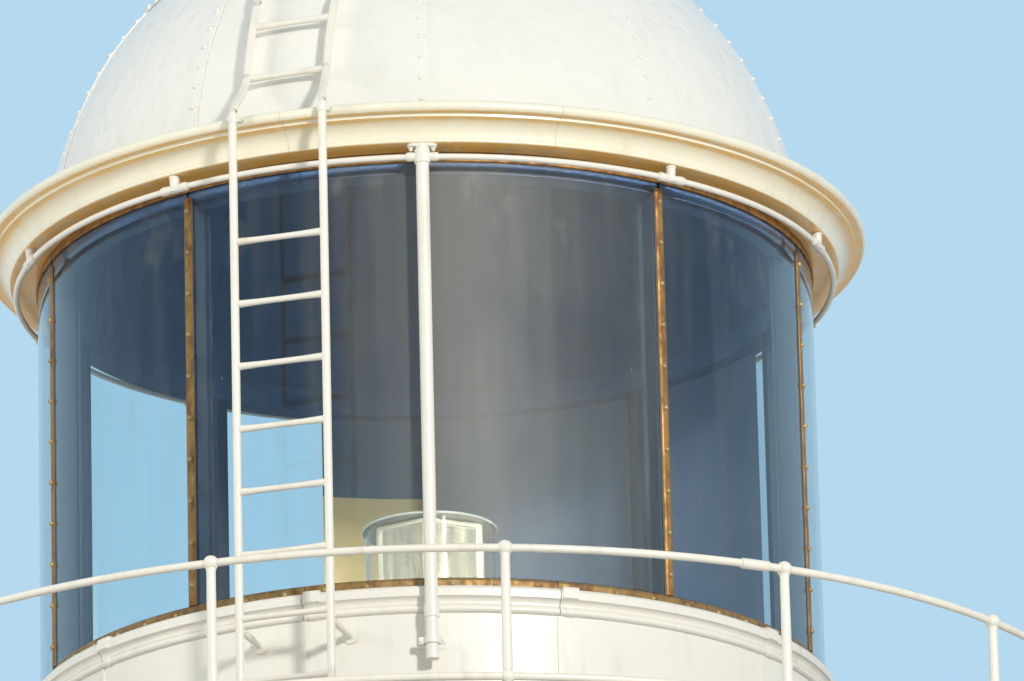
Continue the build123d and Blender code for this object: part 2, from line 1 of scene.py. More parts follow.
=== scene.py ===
import bmesh
import bpy
import numpy as np
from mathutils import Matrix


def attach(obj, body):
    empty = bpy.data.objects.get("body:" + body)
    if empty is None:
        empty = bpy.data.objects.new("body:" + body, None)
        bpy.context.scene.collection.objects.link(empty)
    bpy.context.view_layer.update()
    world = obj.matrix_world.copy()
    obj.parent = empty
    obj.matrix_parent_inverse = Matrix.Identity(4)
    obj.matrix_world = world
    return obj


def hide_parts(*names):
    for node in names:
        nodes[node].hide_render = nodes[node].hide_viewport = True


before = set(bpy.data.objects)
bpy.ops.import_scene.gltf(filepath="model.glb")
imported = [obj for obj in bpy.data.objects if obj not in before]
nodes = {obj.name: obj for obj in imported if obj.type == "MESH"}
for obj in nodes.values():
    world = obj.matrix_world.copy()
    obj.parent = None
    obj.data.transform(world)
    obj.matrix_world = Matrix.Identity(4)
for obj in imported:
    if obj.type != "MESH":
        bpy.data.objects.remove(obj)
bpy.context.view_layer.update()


# Gallery deck and lantern floor: granite slabs with chamfered nosings, cut to
# the circle and laid with tight mortar joints. The grain is grey and buff
# crystals with black mica, and grime gathers in broad patches.
def add_node(tree, kind, sockets=None, **settings):
    """A shader node with its settings, and its sockets given a value or a link."""
    made = tree.nodes.new(kind)
    for key, value in settings.items():
        setattr(made, key, value)
    for key, value in (sockets or {}).items():
        if isinstance(value, bpy.types.NodeSocket):
            tree.links.new(value, made.inputs[key])
        else:
            made.inputs[key].default_value = value
    return made


def ramp(tree, source, *stops):
    """A colour ramp over a value, from its (place, colour) stops, where one number is a grey."""
    made = add_node(tree, "ShaderNodeValToRGB", {"Fac": source})
    elements = made.color_ramp.elements
    elements.remove(elements[-1])
    for index, (place, colour) in enumerate(stops):
        element = elements[0] if index == 0 else elements.new(place)
        element.position = place
        element.color = (*np.broadcast_to(colour, 3), 1)
    return made.outputs["Color"]


def mix(tree, share, first, second, blend="MIX"):
    """Two colours mixed by a share."""
    made = add_node(tree, "ShaderNodeMix", data_type="RGBA", blend_type=blend)
    for socket, value in zip((made.inputs[0], made.inputs[6], made.inputs[7]), (share, first, second)):
        if isinstance(value, bpy.types.NodeSocket):
            tree.links.new(value, socket)
        else:
            socket.default_value = value if isinstance(value, (int, float)) else (*value, 1)
    return made.outputs[2]


def maths(tree, operation, *values, clamp=False):
    """A product, sum or comparison of values and links."""
    sockets = dict(enumerate(values))
    return add_node(tree, "ShaderNodeMath", sockets, operation=operation, use_clamp=clamp).outputs[0]


def scaled(tree, value, factor, offset=0):
    """A value times a factor plus an offset, kept between 0 and 1."""
    return maths(tree, "MULTIPLY_ADD", value, factor, offset, clamp=True)


def object_place(tree):
    """The place of each point, in the object's own coordinates."""
    return add_node(tree, "ShaderNodeTexCoord").outputs["Object"]


def parted(tree, vector):
    """The x, y and z of a vector."""
    return add_node(tree, "ShaderNodeSeparateXYZ", {0: vector}).outputs


def noise(tree, scale, stretch=(1, 1, 1), detail=4.0, roughness=0.55):
    """Noise on object coordinates, stretched along the axes."""
    stretched = add_node(tree, "ShaderNodeMapping", {"Vector": object_place(tree), "Scale": stretch})
    sockets = {"Vector": stretched.outputs[0], "Scale": scale, "Detail": detail, "Roughness": roughness}
    return add_node(tree, "ShaderNodeTexNoise", sockets).outputs["Fac"]


def new_material(name):
    """An empty material, its tree and its Principled shader."""
    made = bpy.data.materials.new(name)
    made.use_nodes = True
    return made, made.node_tree, made.node_tree.nodes["Principled BSDF"]


def relief(tree, shader, height, distance):
    """A height over the surface that tilts the shader's normal."""
    bump = add_node(tree, "ShaderNodeBump", {"Height": height, "Distance": distance, "Strength": 1.0})
    tree.links.new(bump.outputs[0], shader.inputs["Normal"])


def dress(name, material):
    """A solid of the part takes a material in place of its plain one."""
    slots = nodes[name].data.materials
    slots.clear()
    slots.append(material)


granite, tree, shader = new_material("granite")
crystals = add_node(tree, "ShaderNodeTexVoronoi", {"Vector": object_place(tree), "Scale": 160.0})
speckle = ramp(
    tree,
    add_node(tree, "ShaderNodeSeparateColor", {0: crystals.outputs["Color"]}).outputs[0],
    (0.0, 0.05),
    (0.12, (0.19, 0.18, 0.17)),
    (0.45, (0.33, 0.31, 0.28)),
    (1.0, (0.50, 0.47, 0.42)),
)
grime = ramp(tree, noise(tree, 2.2), (0.42, 0), (0.75, 1))
tree.links.new(mix(tree, scaled(tree, grime, 0.45), speckle, (0.13, 0.12, 0.10)), shader.inputs["Base Color"])
tree.links.new(scaled(tree, noise(tree, 40.0), 0.3, 0.6), shader.inputs["Roughness"])
relief(tree, shader, noise(tree, 90.0), 0.002)
dress("gallery_deck", granite)
dress("lantern_floor", granite)


# Murette: ten curved cast-iron panels, bolted together at upright joints and
# painted white many times over. A narrow fillet covers each joint, hexagon bolt
# heads stand along the foot flange, and the paint has brush marks and rust runs.
def node_group(name, given, put_out):
    """A new node group with sockets of {name: kind}, its given values and its results."""
    group = bpy.data.node_groups.new(name, "ShaderNodeTree")
    for way, sockets in (("INPUT", given), ("OUTPUT", put_out)):
        for socket, kind in sockets.items():
            group.interface.new_socket(socket, in_out=way, socket_type=f"NodeSocket{kind}")
    return group, group.nodes.new("NodeGroupInput").outputs, group.nodes.new("NodeGroupOutput").inputs


def weathering_group():
    """Paint that has weathered: runs of stain down the surface, chalky patches and brush marks."""
    group, given, result = node_group(
        "weathered paint",
        {"Paint": "Color", "Stain": "Color", "Amount": "Float", "Gloss": "Float", "Chalk": "Float"},
        {"Color": "Color", "Roughness": "Float", "Height": "Float"},
    )
    patches = noise(group, 3.0, detail=6.0)
    runs = noise(group, 14.0, stretch=(1, 1, 0.07), detail=5.0)
    specks = noise(group, 70.0, detail=3.0)
    run_mask = ramp(group, runs, (0.50, 0), (0.72, 1))
    patch_mask = ramp(group, patches, (0.40, 0), (0.70, 1))
    speck_mask = ramp(group, specks, (0.66, 0), (0.74, 1))
    stained = maths(group, "MULTIPLY", run_mask, patch_mask)
    marked = maths(group, "MULTIPLY_ADD", speck_mask, 0.5, stained)
    share = maths(group, "MULTIPLY", marked, given["Amount"], clamp=True)
    chalk_share = maths(group, "MULTIPLY", patches, given["Chalk"])
    chalky = mix(group, chalk_share, given["Paint"], (0.62, 0.62, 0.60))
    group.links.new(mix(group, share, chalky, given["Stain"]), result["Color"])
    group.links.new(maths(group, "MULTIPLY_ADD", patches, 0.25, given["Gloss"]), result["Roughness"])
    brushed = noise(group, 120.0, stretch=(1, 1, 0.2), detail=2.0)
    lumps = noise(group, 9.0, detail=2.0)
    group.links.new(maths(group, "MULTIPLY_ADD", brushed, 0.12, lumps), result["Height"])
    return group


weathering = weathering_group()


def weathered_paint(
    name, paint, stain, amount, gloss=0.28, bump=0.004, coat=0.25, under=None, mirror=0.5, chalk=0.22
):
    """Gloss paint on iron, weathered by the shared group, with another colour as painted shade on faces that
    look down.
    """
    made, tree, shader = new_material(name)
    given = {"Paint": (*paint, 1), "Stain": (*stain, 1), "Amount": amount, "Gloss": gloss, "Chalk": chalk}
    worn = add_node(tree, "ShaderNodeGroup", given, node_tree=weathering).outputs
    colour = worn["Color"]
    # Painted shade: faces that look down take the under colour, in patches.
    if under:
        facing = add_node(tree, "ShaderNodeNewGeometry").outputs["Normal"]
        downward = maths(tree, "MULTIPLY", parted(tree, facing)["Z"], -1.0)
        below = ramp(tree, downward, (0.05, 0), (0.60, 0.04), (0.86, 0.20), (0.97, 1))
        patchy_painted_shade = maths(tree, "MULTIPLY", below, noise(tree, 8.0))
        colour = mix(tree, scaled(tree, patchy_painted_shade, 1.9), colour, under)
    tree.links.new(colour, shader.inputs["Base Color"])
    tree.links.new(worn["Roughness"], shader.inputs["Roughness"])
    shader.inputs["Specular IOR Level"].default_value = mirror
    shader.inputs["Coat Weight"].default_value = coat
    shader.inputs["Coat Roughness"].default_value = 0.25
    relief(tree, shader, worn["Height"], bump)
    return made


def lathe(profile, azimuths):
    """A profile of (radius, height) carried round the lantern's axis: (r cos a, r sin a, h)."""
    radius, height = np.asarray(profile, float).T
    a = np.asarray(azimuths, float)[..., None]
    return np.stack([radius * np.cos(a), radius * np.sin(a), height + 0 * a], axis=-1)


def bays(count, gap=0.0, steps=24, start=-90.0, wide=None):
    """The azimuths of each bay's grid, with a gap left at each joint, in radians."""
    pitch = 2 * np.pi / count
    first = np.radians(start) + pitch * np.arange(count)[:, None]
    width = pitch if wide is None else wide
    return first + np.linspace(gap / 2 - width / 2, width / 2 - gap / 2, steps)


def rounded(profile, radius, steps=4):
    """A closed profile with each corner c eased: (1-t)^2 a + 2t(1-t) c + t^2 b, a and b a radius away."""
    corner = np.asarray(profile, float)
    before, after = np.roll(corner, 1, axis=0), np.roll(corner, -1, axis=0)
    back, ahead = before - corner, after - corner
    back_length = np.linalg.norm(back, axis=1, keepdims=True)
    ahead_length = np.linalg.norm(ahead, axis=1, keepdims=True)
    a = corner + back / back_length * np.minimum(radius, 0.45 * back_length)
    b = corner + ahead / ahead_length * np.minimum(radius, 0.45 * ahead_length)
    t = np.linspace(0, 1, steps)[:, None, None]
    eased = (1 - t) ** 2 * a + 2 * t * (1 - t) * corner + t**2 * b
    return eased.transpose(1, 0, 2).reshape(-1, 2)


def grid_faces(copies, along, across, loop_along, loop_across):
    """The four corners of each cell of the grids, as vertex numbers."""
    c = np.arange(copies)[:, None, None] * along * across
    i = np.arange(along if loop_along else along - 1)[:, None]
    j = np.arange(across if loop_across else across - 1)
    i2, j2 = (i + 1) % along, (j + 1) % across
    corners = [c + i * across + j, c + i2 * across + j, c + i2 * across + j2, c + i * across + j2]
    return np.stack(corners, axis=-1).reshape(-1, 4)


def piece(name, parts, material, replaced=None):
    """A mesh from grids of points (copies, along, across, 3), each with its kind:
    "bar" has a looped profile and capped ends, "ring" loops both ways, "shell" is open,
    and "round" is a looped profile whose ends meet in a point. Edges over 38 degrees stay
    sharp. The piece may stand in for a solid of the part."""
    vertices, faces, start = [], [], 0
    for grid, kind in parts:
        copies, along, across = grid.shape[:3]
        cells = grid_faces(copies, along, across, kind == "ring", kind != "shell") + start
        faces += cells.tolist()
        if kind == "bar":
            first = start + np.arange(copies)[:, None] * along * across + np.arange(across)
            faces += first.tolist() + (first + (along - 1) * across).tolist()
        vertices.append(grid.reshape(-1, 3))
        start += copies * along * across
    mesh = bpy.data.meshes.new(name)
    mesh.from_pydata(np.concatenate(vertices), [], faces)
    shape = bmesh.new()
    shape.from_mesh(mesh)
    bmesh.ops.remove_doubles(shape, verts=shape.verts, dist=1e-6)
    bmesh.ops.recalc_face_normals(shape, faces=shape.faces)
    shape.to_mesh(mesh)
    shape.free()
    mesh.polygons.foreach_set("use_smooth", np.ones(len(mesh.polygons), bool))
    mesh.set_sharp_from_angle(angle=np.radians(38))
    mesh.materials.append(material)
    made = bpy.data.objects.new(name, mesh)
    bpy.context.collection.objects.link(made)
    made.modifiers.new("broad faces shade flat", "WEIGHTED_NORMAL").keep_sharp = True
    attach(made, "root")
    if replaced:
        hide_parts(replaced)
    return made


def unit(vectors):
    """Vectors scaled to length one."""
    return vectors / np.linalg.norm(vectors, axis=-1, keepdims=True)


def circle_about(n, sides):
    """The directions round each direction n: u cos f + v sin f, with u and v square to n."""
    upright = np.abs(n[..., 2:]) >= 0.9
    u = unit(np.cross(n, np.where(upright, [1.0, 0.0, 0.0], [0.0, 0.0, 1.0])))
    f = (np.arange(sides) * 2 * np.pi / sides)[:, None]
    return u[..., None, :] * np.cos(f) + np.cross(n, u)[..., None, :] * np.sin(f)


def heads(places, outward, profile, sides):
    """Turned heads, such as rivets: a profile of (radius r, height h) turned about the
    outward direction n at each place p: p + h n + r (u cos f + v sin f)."""
    n = unit(np.asarray(outward, float))
    radius, height = np.asarray(profile, float).T
    middle = places[:, None, None, :] + n[:, None, None, :] * height[:, None, None]
    return middle + circle_about(n, sides)[:, None] * radius[:, None, None]


def on_ring(radius, azimuth, level):
    """Points at radii, azimuths and levels, and the level directions out from the axis."""
    radius, azimuth, level = np.broadcast_arrays(radius, azimuth, level)
    out = np.stack([np.cos(azimuth), np.sin(azimuth), np.zeros(azimuth.shape)], axis=-1)
    point = out * radius[..., None] + np.stack([0 * level, 0 * level, level], axis=-1)
    return point.reshape(-1, 3), out.reshape(-1, 3)


white_paint = weathered_paint("white gloss paint", (0.88, 0.87, 0.81), (0.46, 0.36, 0.21), 0.25)
joint = np.radians(0.12)
murette_wall = rounded([(1.826, 0.1203), (1.850, 0.1203), (1.850, 1.335), (1.826, 1.335)], 0.004)
foot_flange = rounded(
    [(1.848, 0.1203), (1.905, 0.1203), (1.905, 0.140), (1.862, 0.150), (1.848, 0.175)], 0.006
)
sill_shelf = rounded([(1.691, 1.426), (1.835, 1.426), (1.835, 1.4545), (1.691, 1.4545)], 0.004)
joint_rib = rounded([(1.849, 0.150), (1.8555, 0.150), (1.8555, 1.334), (1.849, 1.334)], 0.003)
rib_azimuths = bays(10, steps=5, start=-72.0, wide=np.radians(0.7))
murette_bolts, _ = on_ring(1.880, np.radians(np.arange(60) * 6 - 87), 0.146)
up, down = [[0.0, 0.0, 1.0]], [[0.0, 0.0, -1.0]]
hexagon_head = [(0, 0), (0.019, 0), (0.019, 0.011), (0.016, 0.014), (0, 0.014)]
piece(
    "murette_wall",
    [
        (lathe(murette_wall, bays(10, joint, 28)), "bar"),
        (lathe(foot_flange, bays(10, joint, 28)), "bar"),
        (lathe(sill_shelf, bays(10, joint, 28)), "bar"),
        (lathe(joint_rib, rib_azimuths), "bar"),
        (heads(murette_bolts, up, hexagon_head, 6), "round"),
    ],
    white_paint,
    "murette_panels",
)


# Murette moulding: iron castings along the wall's top, a flat band over a
# cove and a bead, bolted through a lug beside each joint. It has
# the wall's white paint, which fills the corners of the profile.
def arc(centre, radius, first, last, steps):
    """Points on an arc: centre + radius (cos a, sin a), with a in degrees."""
    a = np.radians(np.linspace(first, last, steps))
    return np.stack([centre[0] + radius * np.cos(a), centre[1] + radius * np.sin(a)], axis=-1)


moulding = np.concatenate(
    [
        [(1.8501, 1.4549), (1.8501, 1.334)],
        arc((1.852, 1.352), 0.0165, -75, 75, 9),
        arc((1.889, 1.378), 0.028, 190, 100, 9),
        rounded([(1.885, 1.408), (1.885, 1.441), (1.872, 1.4548)], 0.004)[4:8],
        [(1.872, 1.4549)],
    ]
)
beside_joints = np.radians(np.arange(10) * 36 - 70.6)[:, None]
lug_azimuths = beside_joints + np.linspace(-0.02, 0.02, 5)
lug = rounded([(1.860, 1.4080), (1.892, 1.4080), (1.892, 1.4520), (1.883, 1.4640), (1.852, 1.4640)], 0.003)
collar_azimuths = beside_joints + np.linspace(-0.009, 0.009, 5)
collar = np.concatenate([[(1.8505, 1.377), (1.8505, 1.330)], arc((1.852, 1.352), 0.0205, -75, 75, 9)])
piece(
    "murette_moulding_castings",
    [
        (lathe(moulding, bays(10, joint, 32)), "bar"),
        (lathe(lug, lug_azimuths), "bar"),
        (lathe(collar, collar_azimuths), "bar"),
    ],
    white_paint,
    "murette_moulding",
)


# Sill: a gunmetal ring in ten castings bedded on the murette, with a bevelled
# outer edge and round-head screws. Salt air has browned it, with green patches
# and bright rubbed places.
def patina_group():
    """Gunmetal that has browned: patches of dark brown and verdigris over the bare metal."""
    group, given, result = node_group(
        "gunmetal patina",
        {"Metal": "Color", "Brown": "Color", "Green": "Float"},
        {"Color": "Color", "Metallic": "Float", "Roughness": "Float", "Height": "Float"},
    )
    patches = noise(group, 22.0, stretch=(1, 1, 0.5), detail=6.0, roughness=0.65)
    brown_mask = ramp(group, patches, (0.38, 0), (0.62, 1))
    green_mask = ramp(group, noise(group, 9.0, detail=7.0), (0.56, 0), (0.72, 1))
    browned = mix(group, brown_mask, given["Metal"], given["Brown"])
    share = maths(group, "MULTIPLY", green_mask, given["Green"])
    group.links.new(mix(group, share, browned, (0.16, 0.22, 0.17)), result["Color"])
    group.links.new(maths(group, "MULTIPLY_ADD", brown_mask, -0.55, 0.8), result["Metallic"])
    group.links.new(maths(group, "MULTIPLY_ADD", patches, 0.45, 0.32), result["Roughness"])
    group.links.new(noise(group, 160.0, detail=4.0), result["Height"])
    return group


patina = patina_group()


def browned_metal(name, metal, brown, green):
    """Gunmetal or brass under the shared patina."""
    made, tree, shader = new_material(name)
    given = {"Metal": (*metal, 1), "Brown": (*brown, 1), "Green": green}
    worn = add_node(tree, "ShaderNodeGroup", given, node_tree=patina).outputs
    for socket, result in (("Base Color", "Color"), ("Metallic", "Metallic"), ("Roughness", "Roughness")):
        tree.links.new(worn[result], shader.inputs[socket])
    relief(tree, shader, worn["Height"], 0.0008)
    return made


sill_metal = browned_metal("browned gunmetal", (0.46, 0.28, 0.10), (0.20, 0.105, 0.040), 0.25)
sill = rounded([(1.691, 1.4552), (1.838, 1.4552), (1.838, 1.490), (1.831, 1.5038), (1.691, 1.5038)], 0.003)
round_head = [(0, -0.002), (0.011, -0.002), (0.011, 0.002), (0.009, 0.006), (0.005, 0.0085), (0, 0.0095)]
sill_screws, screw_out = on_ring(1.838, np.radians(np.arange(60) * 6.0 - 87.0), 1.473)
sill_ring = lathe(sill, bays(10, joint, 32))
piece("sill_castings", [(sill_ring, "bar")], sill_metal, "sill_ring")
# The screw heads are paler, rubbed brass, made pale so that they show as bright glints: part wear, part
# painted highlight.
rubbed_screw_metal_and_glint = browned_metal("rubbed screw heads with painted glint", (0.66, 0.50, 0.24), (0.40, 0.27, 0.12), 0.05)
piece("sill_screws", [(heads(sill_screws, screw_out, round_head, 10), "round")], rubbed_screw_metal_and_glint)


# Glazing bars: iron I-section standards behind the glass joints, painted a
# very dark blue that is painted shade, for the dark inside of the lantern.
# Only their webs and inner flanges show through the glass.
dark_iron_painted_shade = weathered_paint(
    "dark bar paint and painted shade", (0.020, 0.032, 0.052), (0.05, 0.05, 0.04), 0.4, 0.5, 0.003, 0.0, mirror=0.15, chalk=0.03
)
dress("glazing_bars", dark_iron_painted_shade)


# Glass: ten tall panes of polished plate, bent to the circle and bedded in
# putty. The plate is clear, and what it mirrors looks a little bluer.
clear_glass, tree, shader = new_material("polished plate glass")
shader.inputs["Transmission Weight"].default_value = 1.0
shader.inputs["IOR"].default_value = 1.40
shader.inputs["Base Color"].default_value = (0.84, 0.94, 0.98, 1)
shader.inputs["Specular Tint"].default_value = (0.40, 0.68, 1.0, 1)
tree.links.new(scaled(tree, noise(tree, 2.0), 0.012, 0.0), shader.inputs["Roughness"])
pane_gap = 0.016 / 1.83
pane_azimuths = bays(10, pane_gap, 40, start=-72.0)
pane = [(1.8202, 1.5042), (1.8298, 1.5042), (1.8298, 3.4995), (1.8202, 3.4995)]
bent = lathe(pane, pane_azimuths)
panes = piece("bent_panes", [(bent, "bar")], clear_glass, "glass_panes")
panes.visible_shadow = False


# Salt film: dried spray and dust on the outside of the panes, thin enough to
# see through, that spreads the lamp's reflection in a broad soft glow. It is
# thickest in a band just right of the downpipe, where its lit haze paints in a
# glow of the low lamp, and in a band behind the slit between the first two
# screens, where it paints a light upright stripe. It has upright runs and a few
# smears.
def around(tree):
    """The place round the lantern, 0 at the back and 0.5 at the front: atan2(x, -y) / 2 pi + 0.5."""
    x, y, _ = parted(tree, object_place(tree))
    angle = maths(tree, "ARCTAN2", x, maths(tree, "MULTIPLY", y, -1.0))
    return scaled(tree, angle, 0.5 / np.pi, 0.5)


salt, tree, shader = new_material("salt film")
shader.inputs["Base Color"].default_value = (0.58, 0.56, 0.46, 1)
shader.inputs["Roughness"].default_value = 0.5
shader.inputs["IOR"].default_value = 2.1
# Painted glow: this thickness round the lantern puts the lit haze where a glow and a light stripe are painted
# in.
film_and_glow_around = [
    (0.430, 0.015), (0.462, 0.05), (0.480, 0.12), (0.495, 0.17), (0.502, 0.26), (0.522, 0.24), (0.540, 0.17),
    (0.575, 0.11), (0.600, 0.06), (0.625, 0.02), (0.795, 0.02), (0.805, 0.28), (0.838, 0.28), (0.848, 0.02),
]
patches = scaled(tree, noise(tree, 1.3, detail=4.0), 1.1, 0.45)
haze_and_glow = mix(tree, 1.0, ramp(tree, around(tree), *film_and_glow_around), patches, "MULTIPLY")
runs = ramp(tree, noise(tree, 11.0, (1, 1, 0.05), 5.0), (0.46, 0), (0.80, 0.06))
high = scaled(tree, parted(tree, object_place(tree))["Z"], 0.25)
near_top = ramp(tree, high, (0.74, 0.12), (0.83, 1))
smears = ramp(tree, noise(tree, 4.5, (1, 1, 0.6), 8.0, 0.7), (0.55, 0), (0.72, (0.15, 0.13, 0.10)))
specks = ramp(tree, noise(tree, 95.0, detail=2.0), (0.70, 0), (0.76, 0.16))
streaked = mix(tree, 1.0, runs, mix(tree, 1.0, smears, near_top, "MULTIPLY"), "ADD")
speckled = mix(tree, 1.0, streaked, specks, "ADD")
tree.links.new(maths(tree, "ADD", speckled, haze_and_glow, clamp=True), shader.inputs["Alpha"])
film_line = [(1.8301, 1.506), (1.8301, 3.498)]
piece("salt_film", [(lathe(film_line, pane_azimuths), "shell")], salt)


# Cover strips: gunmetal bars with rounded edges, screwed through the glass
# joints into the bars with round-head screws about 0.2 m apart. A thin
# bead of dark putty shows along each side.
strip_metal = browned_metal("weathered cover strip", (0.52, 0.27, 0.08), (0.21, 0.095, 0.030), 0.06)
strip_edges = [(1.8303, 0.020), (1.8350, 0.020), (1.8390, 0.012)]
strip_section = rounded([(out, -side) for out, side in strip_edges] + strip_edges[::-1], 0.003)
strip_azimuths = np.radians(np.arange(10) * 36 - 90)


def turned(points, azimuth):
    """Points of (out x, across y, up z) turned to an azimuth a: (x cos a - y sin a, x sin a + y cos a, z)."""
    out, across, up = np.moveaxis(np.asarray(points, float), -1, 0)
    x = out * np.cos(azimuth) - across * np.sin(azimuth)
    y = out * np.sin(azimuth) + across * np.cos(azimuth)
    return np.stack([x, y, up + 0 * x], axis=-1)


def standing(section, levels, azimuths):
    """An upright bar: a section of (out, across) at each level, turned to each azimuth."""
    out, across = np.asarray(section, float).T
    z = np.asarray(levels, float)[:, None] + 0 * out
    return turned(np.stack([out + 0 * z, across + 0 * z, z], axis=-1), np.asarray(azimuths)[:, None, None])


strips = standing(strip_section, [1.5045, 3.455], strip_azimuths)
piece("gunmetal_cover_strips", [(strips, "bar")], strip_metal, "cover_strips")
screw_levels = 1.60 + 0.199 * np.arange(10)
strip_screws, strip_out = on_ring(1.839, strip_azimuths[:, None], screw_levels)
cup_head = [(0, -0.002), (0.0118, -0.002), (0.0118, 0.003), (0.0105, 0.0075), (0.0065, 0.0115), (0, 0.0125)]
cup_heads = heads(strip_screws, strip_out, cup_head, 12)
piece("cover_strip_screws", [(cup_heads, "round")], rubbed_screw_metal_and_glint)
putty = weathered_paint("putty", (0.10, 0.085, 0.07), (0.22, 0.18, 0.12), 0.5, 0.6, 0.002, 0.0)
putty_line = rounded([(1.8300, -0.0255), (1.8330, -0.0235), (1.8330, 0.0235), (1.8300, 0.0255)], 0.001)
piece("putty_lines", [(standing(putty_line, [1.5046, 3.454], strip_azimuths), "bar")], putty)


# Head ring and head strip: the iron ring that the bars carry, in the dark blue
# of the dome's lining, and the narrow gunmetal strip that holds the panes' top
# edges under the gutter, with a fillet of putty above it. The lining's dark
# blue is painted shade, for the dark inside of the lantern and under the gutter.
lining_painted_shade = weathered_paint(
    "dark lining paint and painted shade", (0.012, 0.064, 0.210), (0.01, 0.03, 0.08), 0.5, 0.7, 0.004, 0.0, mirror=0.1
)
dress("head_ring", lining_painted_shade)
head_strip = rounded(
    [(1.8304, 3.484), (1.8365, 3.484), (1.8385, 3.487), (1.8385, 3.497), (1.8304, 3.500)], 0.001
)
putty_fillet = rounded([(1.829, 3.4995), (1.8375, 3.4995), (1.835, 3.512), (1.829, 3.5315)], 0.002)
piece(
    "head_strip",
    [
        (lathe(head_strip, bays(10, joint, 32)), "bar"),
        (lathe(putty_fillet, bays(10, joint, 32)), "bar"),
    ],
    strip_metal,
)


# Gutter: ten iron castings round the foot of the dome. Below is a flat soffit
# with a small bead, then a hollow cove, a flat band and a rolled lip. Cream
# paint with brown runs of rust, and a patchy golden colour where it faces down
# that is painted warm shade.
# The under colour here is painted warm shade on the gutter's downward faces.
cream_paint_and_shade = weathered_paint(
    "cream gloss paint and painted shade", (0.93, 0.90, 0.74), (0.58, 0.44, 0.20), 0.3, 0.2, coat=0.5, under=(1.0, 0.62, 0.18)
)
gutter_section = np.concatenate(
    [
        [(1.701, 3.5322), (1.940, 3.5322)],
        arc((1.956, 3.5405), 0.0085, -100, 60, 7),
        [(1.962, 3.551)],
        arc((2.044, 3.548), 0.081, 174, 100, 12),
        [(2.043, 3.6285), (2.044, 3.645), (2.049, 3.6465)],
        arc((2.063, 3.668), 0.0265, -60, 92, 12),
        [(2.045, 3.6925), (2.036, 3.660), (2.026, 3.644), (1.988, 3.632)],
        [(1.957, 3.560), (1.820, 3.546), (1.701, 3.546)],
    ]
)
castings = lathe(gutter_section, bays(10, joint / 3, 48))
piece("gutter_castings", [(castings, "bar")], cream_paint_and_shade, "gutter")


# Dome: twenty sheet-iron gores in two courses. Each gore laps over the next
# at a seam above each bar, with one row of large snap-head rivets. The white
# paint is thick, and the sheets are slightly dished from their working.
dome_centre, dome_radius, sheet = 3.558, 1.8135, 0.007
spring, course_edge, crown_edge = np.radians(-0.42), np.radians(42.0), np.radians(79.0)


def gores(low, high, rise, rows=28, columns=36):
    """The outer skin of each gore at azimuth a and elevation e: a sphere, R + t s(a) + d,
    where s lifts the lapped edge by one sheet and d dishes the middle of the gore."""
    across = np.linspace(0, 1, columns)
    e = np.linspace(low, high, rows)[None, :, None]
    left = np.radians(-90 + 36 * np.arange(10))[:, None, None]
    lap = 0.055 / (dome_radius * np.cos(e))
    a = left - lap * 0.5 + across * (np.pi / 5 + lap)
    from_edge = (left + np.pi / 5 + lap * 0.5 - a) / lap
    lifted = np.clip(1.8 - from_edge, 0, 1)
    dish = 0.004 * np.sin(np.pi * across) * np.sin(3 * e + 1.7 * left) * np.cos(2.3 * left)
    outer = dome_radius + rise + sheet * lifted + dish
    return e + 0 * a, a, outer


def skin(low, high, rise):
    """A closed sheet: the outer skin, and the same skin moved in by the sheet's thickness."""
    e, a, outer = gores(low, high, rise)
    outside, inside = [
        np.stack([r * np.cos(e) * np.cos(a), r * np.cos(e) * np.sin(a), dome_centre + r * np.sin(e)], axis=-1)
        for r in (outer, outer - sheet)
    ]
    return np.concatenate([outside, inside[:, :, ::-1]], axis=2)


def outward(azimuth, elevation):
    """Directions out from the dome's centre: (cos e cos a, cos e sin a, sin e)."""
    a, e = np.broadcast_arrays(azimuth, elevation)
    return np.stack([np.cos(e) * np.cos(a), np.cos(e) * np.sin(a), np.sin(e)], axis=-1).reshape(-1, 3)


def seam_rivets(low, high, rise, pitch=0.113):
    """Places and outward directions of the rivets along each seam, a pitch apart."""
    step = pitch / dome_radius
    seams = np.radians(-90 + 36 * np.arange(10))[:, None]
    out = outward(seams, np.arange(low + 0.25 * step, high - 0.2 * step, step))
    return out * (dome_radius + rise + sheet) + [0, 0, dome_centre], out


snap_head = [(0, -0.004), (0.0115, -0.004), (0.0115, 0.002), (0.0100, 0.006), (0.0060, 0.0090), (0, 0.0100)]
small_head = [(0, -0.002), (0.012, -0.002), (0.012, 0.002), (0.009, 0.006), (0, 0.008)]
lap_rivets = outward(np.radians(np.arange(120) * 3 + 1.5), course_edge + 0.022)
dome_paint = weathered_paint(
    "white dome paint", (0.88, 0.88, 0.85), (0.50, 0.46, 0.36), 0.15, 0.22, 0.012, 0.35
)
upper_rise = 0.009
courses = (("lower", spring, course_edge + 0.04, 0.0), ("upper", course_edge, crown_edge, upper_rise))
for course, low, high, rise in courses:
    places, out = seam_rivets(low, high, rise)
    parts = [(skin(low, high, rise), "bar"), (heads(places, out, snap_head, 12), "round")]
    if course == "upper":
        lap_places = lap_rivets * (dome_radius + rise) + [0, 0, dome_centre]
        parts.append((heads(lap_places, lap_rivets, small_head, 8), "round"))
    piece(f"dome_{course}_course", parts, dome_paint, f"dome_{course}_gores")
# Dome lining: its dark blue paint is painted shade, for the dark inside of the dome.
lining_line = arc((0, dome_centre), 1.802, np.degrees(-0.01), 78.6, 30)
lining = np.concatenate([lining_line, lining_line[::-1] - 0.003])
lining_curb = [
    (1.6985, 3.5325), (1.7008, 3.5325), (1.7008, 3.5468), (1.802, 3.5468), (1.802, 3.549), (1.6985, 3.549)
]
lining_azimuths = bays(10, joint * 2, 20, start=-72.0)
piece(
    "dome_lining",
    [(lathe(lining, lining_azimuths), "bar"), (lathe(lining_curb, lining_azimuths), "bar")],
    lining_painted_shade,
)


